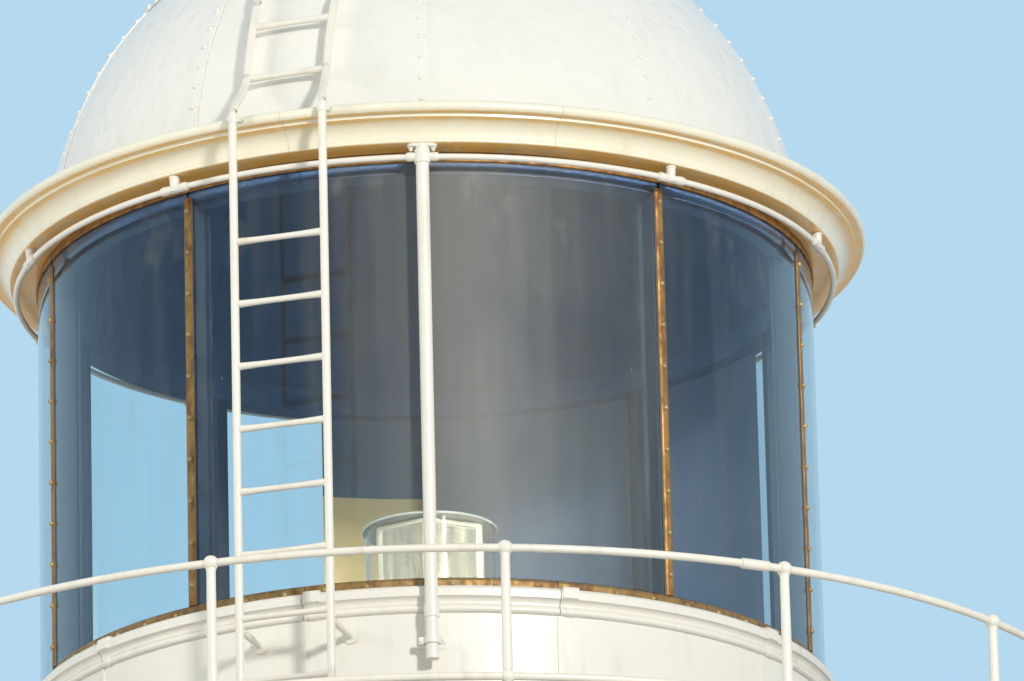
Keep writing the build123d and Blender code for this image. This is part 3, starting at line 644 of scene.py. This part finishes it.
# Crown and ventilator: a ring over the gores' ends, an open drum on it, and
# a spun cowl on three flat stays that keeps the rain out. Beaded edges, rivets
# round the drum's foot, and the dome's white paint. The photo stops below it.
crown = 5.3387
whole_turn = np.linspace(0, 2 * np.pi, 96, endpoint=False)[None, :]
crown_section = rounded(
    [(0.324, crown - 0.002), (0.352, crown - 0.002), (0.352, crown + 0.012), (0.324, crown + 0.012)], 0.004
)
drum_outline = [
    (0.326, 0.0122), (0.346, 0.0122), (0.346, 0.024), (0.336, 0.030),
    (0.336, 0.222), (0.344, 0.230), (0.344, 0.2418), (0.326, 0.2418),
]
drum_section = rounded(np.array(drum_outline) + [0, crown], 0.004)
drum_rivets, drum_out = on_ring(0.336, np.radians(np.arange(24) * 15), crown + 0.045)
piece("crown_plate", [(lathe(crown_section, whole_turn), "ring")], dome_paint, "crown_ring")
piece(
    "vent_drum",
    [(lathe(drum_section, whole_turn), "ring"), (heads(drum_rivets, drum_out, small_head, 8), "round")],
    dome_paint,
    "ventilator_drum",
)
cowl_foot, cowl_turn = 5.6707, np.linspace(0, np.pi / 2, 14)


def spun(reach, rise):
    """One side of the spun cowl: (reach sin t, foot + rise cos t ^ 1.25)."""
    return np.stack([reach * np.sin(cowl_turn), cowl_foot + rise * np.cos(cowl_turn) ** 1.25], axis=-1)


cowl_section = np.concatenate([spun(0.470, 0.1895), spun(0.463, 0.1825)[::-1]])
piece("vent_cowl", [(lathe(cowl_section, whole_turn), "ring")], dome_paint, "ventilator_cowl")
dress("ventilator_stays", dome_paint)


# Finial: a hollow copper ball on the cowl with a lightning rod screwed into
# its top and tapered to a point, both painted with the dome.
def spindle(profile, centres, sides=32):
    """A profile of (radius r, height h) turned about an upright line through each centre c:
    c + (r cos f, r sin f, h)."""
    radius, height = np.asarray(profile, float).T
    f = np.arange(sides) * 2 * np.pi / sides
    ring = np.stack([np.cos(f), np.sin(f), 0 * f], axis=-1)
    middle = np.asarray(centres, float)[:, None, None, :] + height[:, None, None] * np.array([0, 0, 1.0])
    return middle + radius[:, None, None] * ring


ball_turn = arc((0, 5.9555), 0.0945, -90, 80, 20)
ball_collar = [(0.020, 6.049), (0.020, 6.060), (0.011, 6.064)]
rod = [(0.0105, 6.30), (0.009, 6.50), (0.002, 6.5695), (0.0, 6.5705)]
finial_profile = np.concatenate([ball_turn, ball_collar, rod])
axis = [(0, 0, 0)]
piece("ball_and_rod", [(spindle(finial_profile, axis), "round")], dome_paint, "finial")


# Ring rail: painted pipe round the lantern under the gutter, for painters' ropes
# and cleaning ladders. Each length runs between iron tees that hang from small
# round feet on the soffit; the front one is threaded on the downpipe.
def tube(path, radius, sides):
    """A circle of a radius carried along each path (copies, along, 3), in planes square to it."""
    tangent = unit(np.gradient(path, axis=1))
    r = np.broadcast_to(radius, path.shape[1])[:, None, None]
    return path[:, :, None, :] + r * circle_about(tangent, sides)


def hoop_path(radius, level, azimuths):
    """Places on a level circle round the axis at azimuths a: (r cos a, r sin a, level)."""
    return np.stack([radius * np.cos(azimuths), radius * np.sin(azimuths), level + 0 * azimuths], axis=-1)


rail_level, rail_radius = 3.473, 1.931
tee_half = 0.0735 / rail_radius
ring_lengths = bays(10, 2 * tee_half - 0.01, 24, start=-72.0)
tee_lengths = bays(10, steps=13, start=-90.0, wide=2 * tee_half)
half_girth = [0.0190, 0.0218, 0.0218, 0.0200, 0.0200, 0.0200]
tee_girth = [*half_girth, 0.0205, *half_girth[::-1]]
hanger = [
    (0, 3.458), (0.0205, 3.458), (0.0205, 3.492), (0.0228, 3.495),
    (0.0228, 3.519), (0.0255, 3.521), (0.0255, 3.5312), (0, 3.5315),
]
hanger_centres = hoop_path(rail_radius, 0, strip_azimuths[1:])
ring_pipe = tube(hoop_path(rail_radius, rail_level, ring_lengths), 0.0142, 18)
piece("ring_rail_pipes", [(ring_pipe, "bar")], white_paint, "ring_rail")
piece(
    "ring_rail_tees",
    [
        (tube(hoop_path(rail_radius, rail_level, tee_lengths), tee_girth, 18), "bar"),
        (spindle(hanger, hanger_centres, 20), "round"),
    ],
    white_paint,
    "rail_tees",
)


# Downpipe: a painted iron pipe that takes the gutter's water down past the
# glass. It hangs from an oval flange with two bolts, runs through the front
# tee, has a screwed coupling lower down, and is held by a clip on the murette.
pipe = [
    (0, 1.0952), (0.0300, 1.0952), (0.0300, 1.2855), (0.0345, 1.288), (0.0345, 1.343), (0.0300, 1.3455),
    (0.0300, 3.440), (0.0365, 3.442), (0.0365, 3.504), (0.0320, 3.508), (0.0320, 3.522), (0, 3.524),
]
at_front = (0, -rail_radius, 0)
flange_turn = np.linspace(0, 2 * np.pi, 36, endpoint=False)
flange_reach = np.maximum(0.033, 0.0695 * np.abs(np.cos(flange_turn)) ** 1.6)
flange = np.stack([flange_reach * np.cos(flange_turn), flange_reach * np.sin(flange_turn)], axis=-1)


def upright_prism(outline, levels, centre, insets):
    """A level outline about a centre, drawn in by an inset i at each level: (x (1 - i), y (1 - i), z)."""
    shrink = 1 - np.asarray(insets, float)[:, None]
    xy = np.asarray(outline, float)[None] * shrink[..., None] + np.asarray(centre, float)[:2]
    z = np.broadcast_to(np.asarray(levels, float)[:, None, None], (*xy.shape[:2], 1))
    return np.concatenate([xy, z], axis=-1)[None]


flange_bolts = np.array([[-0.051, -rail_radius, 3.519], [0.051, -rail_radius, 3.519]])
hanging_bolt = [
    (0, -0.004), (0.0135, -0.004), (0.0135, 0.008), (0.0085, 0.009), (0.0085, 0.019), (0, 0.020)
]
piece(
    "downpipe_with_flange",
    [
        (spindle(pipe, [at_front], 28), "round"),
        (upright_prism(flange, [3.5175, 3.5200, 3.5295, 3.5316], at_front, [0.05, 0, 0, 0.03]), "bar"),
        (heads(flange_bolts, down, hanging_bolt, 6), "round"),
    ],
    white_paint,
    "downpipe",
)
plate = rounded([(-0.0625, 0.078), (0.0625, 0.078), (0.0625, 0.088), (-0.0625, 0.088)], 0.003)
stem = rounded([(-0.014, -0.030), (0.014, -0.030), (0.014, 0.080), (-0.014, 0.080)], 0.004)
band = np.concatenate([arc((0, 0), 0.0385, 0, 345, 24), arc((0, 0), 0.0303, 345, 0, 24)])
clip_levels = [1.1640, 1.1660, 1.1930, 1.1950]
ears = rounded([(-0.062, -0.006), (0.062, -0.006), (0.062, 0.006), (-0.062, 0.006)], 0.003)
eased = [0.01, 0, 0, 0.01]
ear_bolts = np.array([[-0.051, -rail_radius - 0.006, 1.179], [0.051, -rail_radius - 0.006, 1.179]])
bolt_head = [(0, -0.004), (0.009, -0.004), (0.009, 0.006), (0, 0.007)]
piece(
    "downpipe_saddle",
    [
        (upright_prism(band, clip_levels, at_front, [0, 0, 0, 0]), "bar"),
        (upright_prism(ears, clip_levels, at_front, eased), "bar"),
        (upright_prism(stem, clip_levels, at_front, eased), "bar"),
        (upright_prism(plate, clip_levels, at_front, [0, 0, 0, 0]), "bar"),
        (heads(ear_bolts, [[0, -1, 0]], bolt_head, 6), "round"),
    ],
    white_paint,
    "downpipe_clip",
)


# Gallery handrail: forged posts with two solid balls each, drilled for the
# rails, on round feet with four bolts. The rails are steam pipe bent to the
# circle in lengths, and a screwed sleeve joins two of them at the front.
rail_white = weathered_paint(
    "white rail paint", (0.88, 0.86, 0.78), (0.45, 0.34, 0.18), 0.4, 0.26, 0.003, 0.3
)
post_circle, top_level, mid_level = 3.100, 1.245, 0.662
post_azimuth = np.radians(-108 + 24 * np.arange(15))
post_foot = [(0, 0.1203), (0.062, 0.1203), (0.064, 0.124), (0.064, 0.130), (0.060, 0.134), (0.034, 0.137)]
post = np.concatenate(
    [
        post_foot,
        [(0.0265, 0.150), (0.0250, 0.40), (0.0240, mid_level - 0.036)],
        arc((0, mid_level), 0.0330, -54, 54, 12),
        [(0.0235, mid_level + 0.036), (0.0215, 1.0)],
        [(0.0203, top_level - 0.040), (0.0225, top_level - 0.031)],
        arc((0, top_level), 0.0345, -50, 86, 16),
        [(0, top_level + 0.0344)],
    ]
)
foot_bolts, _ = on_ring(
    post_circle + np.array([-0.034, -0.034, 0.034, 0.034]),
    post_azimuth[:, None] + np.array([-0.0113, 0.0113, -0.0113, 0.0113]),
    0.133,
)
piece(
    "handrail_posts",
    [
        (spindle(post, hoop_path(post_circle, 0, post_azimuth), 24), "round"),
        (heads(foot_bolts, up, bolt_head, 6), "round"),
    ],
    rail_white,
    "stanchions",
)
rail_lengths = bays(15, 2 * 0.026 / post_circle, 24, start=-96.0)
for name, level, node in (("handrail_pipe", top_level, "top_rail"), ("middle_pipe", mid_level, "mid_rail")):
    rail_pipe = tube(hoop_path(post_circle, level, rail_lengths), 0.0178, 18)
    piece(name, [(rail_pipe, "bar")], rail_white, node)
sleeve_half = np.array([0.0221, 0.0219, 0.0212, 0.0100])
sleeve_azimuth = np.radians(-62.7) + np.concatenate([-sleeve_half, sleeve_half[::-1]])[None, :]
sleeve_girth = [0.0190, 0.0222, 0.0235, 0.0235, 0.0235, 0.0235, 0.0222, 0.0190]
sleeve = tube(hoop_path(post_circle, top_level, sleeve_azimuth), sleeve_girth, 20)
piece("rail_sleeve", [(sleeve, "bar")], rail_white)


# Outside ladder and dome ladder: pipe stiles with welded round rungs. The
# outside ladder stands on the gallery on four stays; the dome ladder's stiles
# bend in over the gutter, and lie above the dome on short stand-offs.
ladder_turn, stile_reach, half_ladder, ladder_top = np.radians(-108.0), 2.115, 0.215, 3.661
dome_turn, dome_half, rung_step, into_stile = np.radians(-109.7), 0.194, 0.297, 0.012


def line_between(first, last, steps):
    """Evenly spaced points from one end of each bar to the other."""
    t = np.linspace(0, 1, steps)[:, None]
    return np.asarray(first, float)[:, None, :] * (1 - t) + np.asarray(last, float)[:, None, :] * t


mirrored = np.where([0, 1, 0], np.array([-1.0, 1.0])[:, None, None], 1.0)
stile_foot = np.array([stile_reach, half_ladder, 0.1205]) * mirrored[:, 0]
stile_end = np.array([stile_reach, half_ladder, ladder_top]) * mirrored[:, 0]
stiles = tube(turned(line_between(stile_foot, stile_end, 12), ladder_turn), 0.01905, 24)
piece("ladder_stile_pipes", [(stiles, "bar")], rail_white, "ladder_stiles")
rung_levels = 0.402 + rung_step * np.arange(10)
left_ends, right_ends = [
    np.stack([0 * rung_levels + stile_reach, 0 * rung_levels + side, rung_levels], axis=-1)
    for side in (into_stile - half_ladder, half_ladder - into_stile)
]
weld = [0.0175, 0.0142, 0.0138, 0.0142, 0.0175]
rungs = tube(turned(line_between(left_ends, right_ends, 5), ladder_turn), weld, 16)
piece("ladder_rung_bars", [(rungs, "bar")], rail_white, "ladder_rungs")
dome_reach = np.sqrt(1.874**2 - dome_half**2)


def over_dome(angles, side):
    """Places on the dome ladder at angles e above the springing: (r cos e, side, centre + r sin e)."""
    return np.stack(
        [dome_reach * np.cos(angles), side + 0 * angles, dome_centre + dome_reach * np.sin(angles)], axis=-1
    )


# Each dome stile leaves the ladder upright and meets the dome's curve in a
# smooth bend: the cubic (1-t)^3 a + 3t(1-t)^2 b + 3t^2(1-t) c + t^3 d.
arc_angles = np.radians(np.linspace(14.0, 59.7, 40))
on_dome = turned(over_dome(arc_angles, dome_half) * mirrored, dome_turn)
along_dome = turned([-np.sin(arc_angles[0]), 0, np.cos(arc_angles[0])], dome_turn)
stile_tops = turned(stile_end, ladder_turn)[:, None]
meet = on_dome[:, :1]
t = np.linspace(0, 1, 20)[:, None]
bend = (
    (1 - t) ** 3 * stile_tops
    + 3 * t * (1 - t) ** 2 * (stile_tops + [0, 0, 0.115])
    + 3 * t**2 * (1 - t) * (meet - 0.17 * along_dome)
    + t**3 * meet
)
dome_stiles = tube(np.concatenate([bend, on_dome[:, 1:]], axis=1), 0.0188, 24)
piece("dome_ladder_stile_pipes", [(dome_stiles, "bar")], rail_white, "dome_ladder_stiles")
rung_angles = np.radians(12.7) + rung_step / dome_reach * np.arange(6)
dome_rungs = line_between(
    over_dome(rung_angles, into_stile - dome_half), over_dome(rung_angles, dome_half - into_stile), 5
)
dome_rung_bars = tube(turned(dome_rungs, dome_turn), weld, 16)
piece("dome_ladder_rung_bars", [(dome_rung_bars, "bar")], rail_white, "dome_ladder_rungs")
stand_angles = np.repeat(np.radians([36.0, 55.0]), 2)
sides = np.tile([-dome_half, dome_half], 2)


def above_dome(radius):
    """Points over the dome under the stiles, at a distance from its centre."""
    reach = np.sqrt(radius**2 - sides**2)
    rise = dome_centre + reach * np.sin(stand_angles)
    return np.stack([reach * np.cos(stand_angles), sides, rise], axis=-1)


stands = line_between(above_dome(1.812), above_dome(1.866), 6)
stand_girth = [0.030, 0.030, 0.016, 0.014, 0.014, 0.014]
stands[:, 1] = stands[:, 0] * 0.82 + stands[:, -1] * 0.18
stands[:, 2] = stands[:, 0] * 0.76 + stands[:, -1] * 0.24
stay_levels = np.repeat([0.420, 1.245], 2)
stay_sides = np.tile([-half_ladder, half_ladder], 2)
stay_foot = np.stack([0 * stay_levels + 1.8375, stay_sides, stay_levels], axis=-1)
stay_lines = line_between(stay_foot, stay_foot + [0.262, 0, 0], 8)
stay_lines[:, 1] = stay_foot + [0.0085, 0, 0]
stay_lines[:, 2] = stay_foot + [0.0105, 0, 0]
stay_girth = [0.039, 0.039, 0.0170, 0.0165, 0.0165, 0.0165, 0.0165, 0.0165]
clip_collar = [(0, 3.650), (0.0215, 3.650), (0.0225, 3.652), (0.0225, 3.682), (0.0215, 3.684), (0, 3.684)]
clip_centres = turned([(stile_reach, -half_ladder, 0), (stile_reach, half_ladder, 0)], ladder_turn)
clip_lugs = line_between(
    [(2.096, -half_ladder - 0.012, 3.667), (2.096, half_ladder - 0.012, 3.667)],
    [(2.096, 0.046 - half_ladder, 3.667), (2.096, half_ladder + 0.042, 3.667)],
    4,
)
clip_bolts = turned(
    [(2.098, 0.028 - half_ladder, 3.667), (2.098, half_ladder + 0.023, 3.667)], ladder_turn
)
clip_out = turned([(1, 0, 0)], ladder_turn)
big_bolt = [(0, -0.002), (0.013, -0.002), (0.013, 0.009), (0.010, 0.012), (0, 0.012)]
piece(
    "ladder_fixings",
    [
        (tube(turned(stands, dome_turn), stand_girth, 16), "bar"),
        (tube(turned(stay_lines, ladder_turn), stay_girth, 20), "bar"),
        (spindle(clip_collar, clip_centres, 20), "round"),
        (tube(turned(clip_lugs, ladder_turn), 0.007, 12), "bar"),
        (heads(clip_bolts, clip_out, big_bolt, 6), "round"),
    ],
    rail_white,
    "ladder_stays",
)


# Beacon: a pale painted iron pedestal on a spread foot, a turntable base, six
# framed lens panels with moulded rings, and a clear plastic drum with a
# flanged lid that keeps dust off them.
machine_paint = weathered_paint(
    "pale machine paint", (0.62, 0.64, 0.56), (0.30, 0.27, 0.20), 0.25, 0.3, 0.002, 0.2
)
pedestal = [
    (0, 0.1203), (0.276, 0.1203), (0.280, 0.126), (0.280, 0.152), (0.272, 0.160), (0.226, 0.168),
    (0.212, 0.190), (0.2095, 0.30), (0.2095, 1.58), (0.216, 1.61), (0.240, 1.645), (0.240, 1.6798),
    (0, 1.6798),
]
base = [
    (0, 1.6802), (0.292, 1.6802), (0.300, 1.688), (0.300, 1.712), (0.288, 1.718), (0.288, 1.742),
    (0.300, 1.748), (0.300, 1.7698), (0, 1.7698),
]
stand_bolts, _ = on_ring(0.250, np.radians(np.arange(8) * 45), 0.1625)
piece(
    "beacon_stand",
    [(spindle(pedestal, axis, 64), "round"), (heads(stand_bolts, up, big_bolt, 6), "round")],
    machine_paint,
    "beacon_pedestal",
)
piece("beacon_turntable", [(spindle(base, axis, 72), "round")], dark_iron_painted_shade, "beacon_base")
lid = [
    (0, 2.2892), (0.298, 2.2892), (0.316, 2.2900), (0.3178, 2.2930), (0.3178, 2.3010),
    (0.314, 2.3035), (0.296, 2.3045), (0.280, 2.3090), (0.150, 2.3140), (0, 2.3149),
]
piece("beacon_top", [(spindle(lid, axis, 96), "round")], machine_paint, "beacon_lid")
clear_plastic, tree, shader = new_material("clear drum plastic")
shader.inputs["Transmission Weight"].default_value = 1.0
shader.inputs["IOR"].default_value = 1.25
shader.inputs["Base Color"].default_value = (0.96, 0.94, 0.88, 1)
tree.links.new(scaled(tree, noise(tree, 12.0), 0.12, 0.02), shader.inputs["Roughness"])
drum_wall = rounded([(0.2972, 1.7705), (0.3028, 1.7705), (0.3028, 2.2885), (0.2972, 2.2885)], 0.001, 3)
wall = lathe(drum_wall, whole_turn)
drum = piece("beacon_drum", [(wall, "ring")], clear_plastic, "beacon_cover")
drum.visible_shadow = False
moulded, tree, shader = new_material("moulded lens with painted light")
shader.inputs["IOR"].default_value = 1.49
shader.inputs["Coat Weight"].default_value = 0.6
shader.inputs["Coat Roughness"].default_value = 0.05
tree.links.new(scaled(tree, noise(tree, 18.0), 0.15, 0.10), shader.inputs["Roughness"])
# The lens face is opaque here: its streaked light and dark colour is painted light and shade, for the light
# that the clear moulding refracts and mirrors.
lens_light_and_shade = ramp(
    tree,
    noise(tree, 14.0, (1, 1, 0.12), 5.0),
    (0.35, (0.27, 0.255, 0.21)),
    (0.55, (0.53, 0.485, 0.39)),
    (0.68, (0.90, 0.82, 0.68)),
)
tree.links.new(lens_light_and_shade, shader.inputs["Base Color"])
lens_back, lens_middle = 0.2415, 2.029
lens_azimuth = np.radians(-62 + 60 * np.arange(6))[:, None, None]
lens_across = np.linspace(-0.110, 0.110, 45)[None, None, :]
lens_up = np.linspace(-0.225, 0.225, 90)[None, :, None]


def lens_rings(depth):
    """A Fresnel lens at across s and up t: its face stands out by a saw-tooth of the distance
    from the middle, d - floor(d), and by a domed bull's eye inside the first ring."""
    distance = np.sqrt(lens_across**2 + (lens_up * 0.8) ** 2) / 0.022
    ridge = np.where(distance < 1.6, 1 - (distance / 1.6) ** 2, 1 - (distance - np.floor(distance)))
    out = lens_back + depth * ridge + 0 * lens_azimuth
    face = np.stack([out, lens_across + 0 * out, lens_middle + lens_up + 0 * out], axis=-1)
    return turned(face, lens_azimuth)


piece("lens_rings", [(lens_rings(0.0022), "shell")], moulded)
frame_paint = weathered_paint(
    "lens frame paint", (0.93, 0.88, 0.74), (0.45, 0.38, 0.28), 0.2, 0.35, 0.001, 0.1
)
dress("lens_panels", frame_paint)


# Landward screens: dark painted sheets that hang between the bars on the land
# side, close behind the glass, so that no light shows that way. Their dark blue
# is painted shade and a painted reflection of blue sky. A narrow slit is left
# between the first two, and the last one is cream below a level line, a painted
# sunlit patch below a painted shadow line.
screen_paint_and_shade = weathered_paint(
    "blue screen paint with painted shade and sunlit patch", (0.048, 0.100, 0.195), (0.08, 0.11, 0.15), 0.4, 0.6, 0.003, 0.0, mirror=0.1
)
# Painted light: the last sheet is cream below this level as a sunlit patch, and blue above it as shade.
sunlit_patch_top = 3.03
tree = screen_paint_and_shade.node_tree
shader = tree.nodes["Principled BSDF"]
blue = shader.inputs["Base Color"].links[0].from_socket
x, _, z = parted(tree, object_place(tree))
leftward, low = maths(tree, "LESS_THAN", x, 0.0), maths(tree, "LESS_THAN", z, sunlit_patch_top)
painted_sunlit_part = maths(tree, "MULTIPLY", leftward, low)
tree.links.new(mix(tree, painted_sunlit_part, blue, (1.0, 0.76, 0.36)), shader.inputs["Base Color"])
screen = rounded([(1.7822, 1.5045), (1.7848, 1.5045), (1.7848, 3.4315), (1.7822, 3.4315)], 0.001, 3)
sheet_spans = [(18.96, 24.00), (27.20, 53.04), (54.96, 89.04), (90.95, 106.95)]
sheet_azimuths = np.radians([np.linspace(first, last, 24) for first, last in sheet_spans])
sheets = lathe(screen, sheet_azimuths)
piece("blackout_sheets", [(sheets, "bar")], screen_paint_and_shade, "landward_screens")


# Studio: a plain pale floor that is clear from below, where the camera of the
# photograph's view stands, a low warm key lamp from the front right, two weak
# fills, and an even pale world behind the object.
floor_edge = 24.0
corners = floor_edge * np.array([(-1, -1, 0), (1, -1, 0), (1, 1, 0), (-1, 1, 0)])
floor_mesh = bpy.data.meshes.new("floor")
floor_mesh.from_pydata(corners, [], [(0, 1, 2, 3)])
floor = bpy.data.objects.new("floor", floor_mesh)
bpy.context.collection.objects.link(floor)
floor_paint, tree, shader = new_material("pale floor")
shader.inputs["Base Color"].default_value = (0.80, 0.79, 0.75, 1)
shader.inputs["Roughness"].default_value = 0.9
shader.inputs["Specular IOR Level"].default_value = 0.1
to_camera = add_node(tree, "ShaderNodeLightPath").outputs["Is Camera Ray"]
from_below = add_node(tree, "ShaderNodeNewGeometry").outputs["Backfacing"]
hidden = maths(tree, "MULTIPLY", to_camera, from_below)
clear = add_node(tree, "ShaderNodeBsdfTransparent").outputs[0]
shown = add_node(tree, "ShaderNodeMixShader", {0: hidden, 1: shader.outputs[0], 2: clear})
tree.links.new(shown.outputs[0], tree.nodes["Material Output"].inputs["Surface"])
floor_mesh.materials.append(floor_paint)

world = bpy.data.worlds.new("studio")
bpy.context.scene.world = world
world.use_nodes = True
sky = world.node_tree
ray = add_node(sky, "ShaderNodeLightPath").outputs
mirrored_or_seen = maths(sky, "MAXIMUM", ray["Is Camera Ray"], ray["Is Glossy Ray"])
any_sight = maths(sky, "MAXIMUM", mirrored_or_seen, ray["Is Transmission Ray"])
seen = maths(sky, "MULTIPLY", any_sight, maths(sky, "LESS_THAN", ray["Diffuse Depth"], 0.5))
lighting = add_node(sky, "ShaderNodeBackground", {"Color": (0.88, 0.89, 0.90, 1), "Strength": 0.46})
backdrop = add_node(sky, "ShaderNodeBackground", {"Color": (0.463, 0.693, 0.863, 1), "Strength": 1.0})
both = {0: seen, 1: lighting.outputs[0], 2: backdrop.outputs[0]}
either = add_node(sky, "ShaderNodeMixShader", both)
sky.links.new(either.outputs[0], sky.nodes["World Output"].inputs["Surface"])


def lamp(name, azimuth, elevation, distance, size, power, colour, mirrored):
    """A square area lamp at a direction from the lantern's middle, turned towards it. Gloss and
    glass mirror it only where it says so."""
    a, e = np.radians([azimuth, elevation])
    out = np.array([np.cos(e) * np.cos(a), np.cos(e) * np.sin(a), np.sin(e)])
    light = bpy.data.lights.new(name, "AREA")
    light.size, light.energy, light.color = size, power, colour
    made = bpy.data.objects.new(name, light)
    bpy.context.collection.objects.link(made)
    matrix = np.eye(4)
    side = unit(np.cross([0.0, 0.0, 1.0], out))
    matrix[:3, 0], matrix[:3, 1], matrix[:3, 2] = side, np.cross(out, side), out
    matrix[:3, 3] = out * distance + [0, 0, 2.6]
    made.matrix_world = matrix.T
    made.visible_glossy = made.visible_transmission = mirrored


lamp("key", -67, 11, 40, 3.2, 9600, (1.0, 0.96, 0.87), True)
lamp("left fill", 190, 8, 34, 16.0, 5200, (1.0, 0.96, 0.86), False)
lamp("back fill", 70, 40, 30, 12.0, 2000, (0.95, 0.96, 1.0), False)

# The camera stands low in front and looks up, as the photograph's does. Its
# lens is given by the focal length in pixels of a photo 1024 pixels wide.
view_yaw, view_rise, view_roll = np.radians([0.547, 18.684, 1.376])
camera_place, focal_pixels, photo_width = (0.0, -42.4915, -11.1326), 9500, 1024
level_ahead = np.array([np.sin(view_yaw), np.cos(view_yaw), 0.0])
ahead = level_ahead * np.cos(view_rise) + [0.0, 0.0, np.sin(view_rise)]
level_right = unit(np.cross(ahead, [0.0, 0.0, 1.0]))
level_up = np.cross(level_right, ahead)
camera_matrix = np.eye(4)
camera_matrix[:3, 0] = level_right * np.cos(view_roll) - level_up * np.sin(view_roll)
camera_matrix[:3, 1] = level_right * np.sin(view_roll) + level_up * np.cos(view_roll)
camera_matrix[:3, 2] = -ahead
camera_matrix[:3, 3] = camera_place
camera_data = bpy.data.cameras.new("photo view")
camera_data.sensor_width = 36.0
camera_data.lens = focal_pixels * camera_data.sensor_width / photo_width
camera_data.clip_end = 500.0
camera = bpy.data.objects.new("photo view", camera_data)
bpy.context.collection.objects.link(camera)
camera.matrix_world = camera_matrix.T
bpy.context.scene.camera = camera
bpy.context.scene.view_settings.view_transform = "Standard"
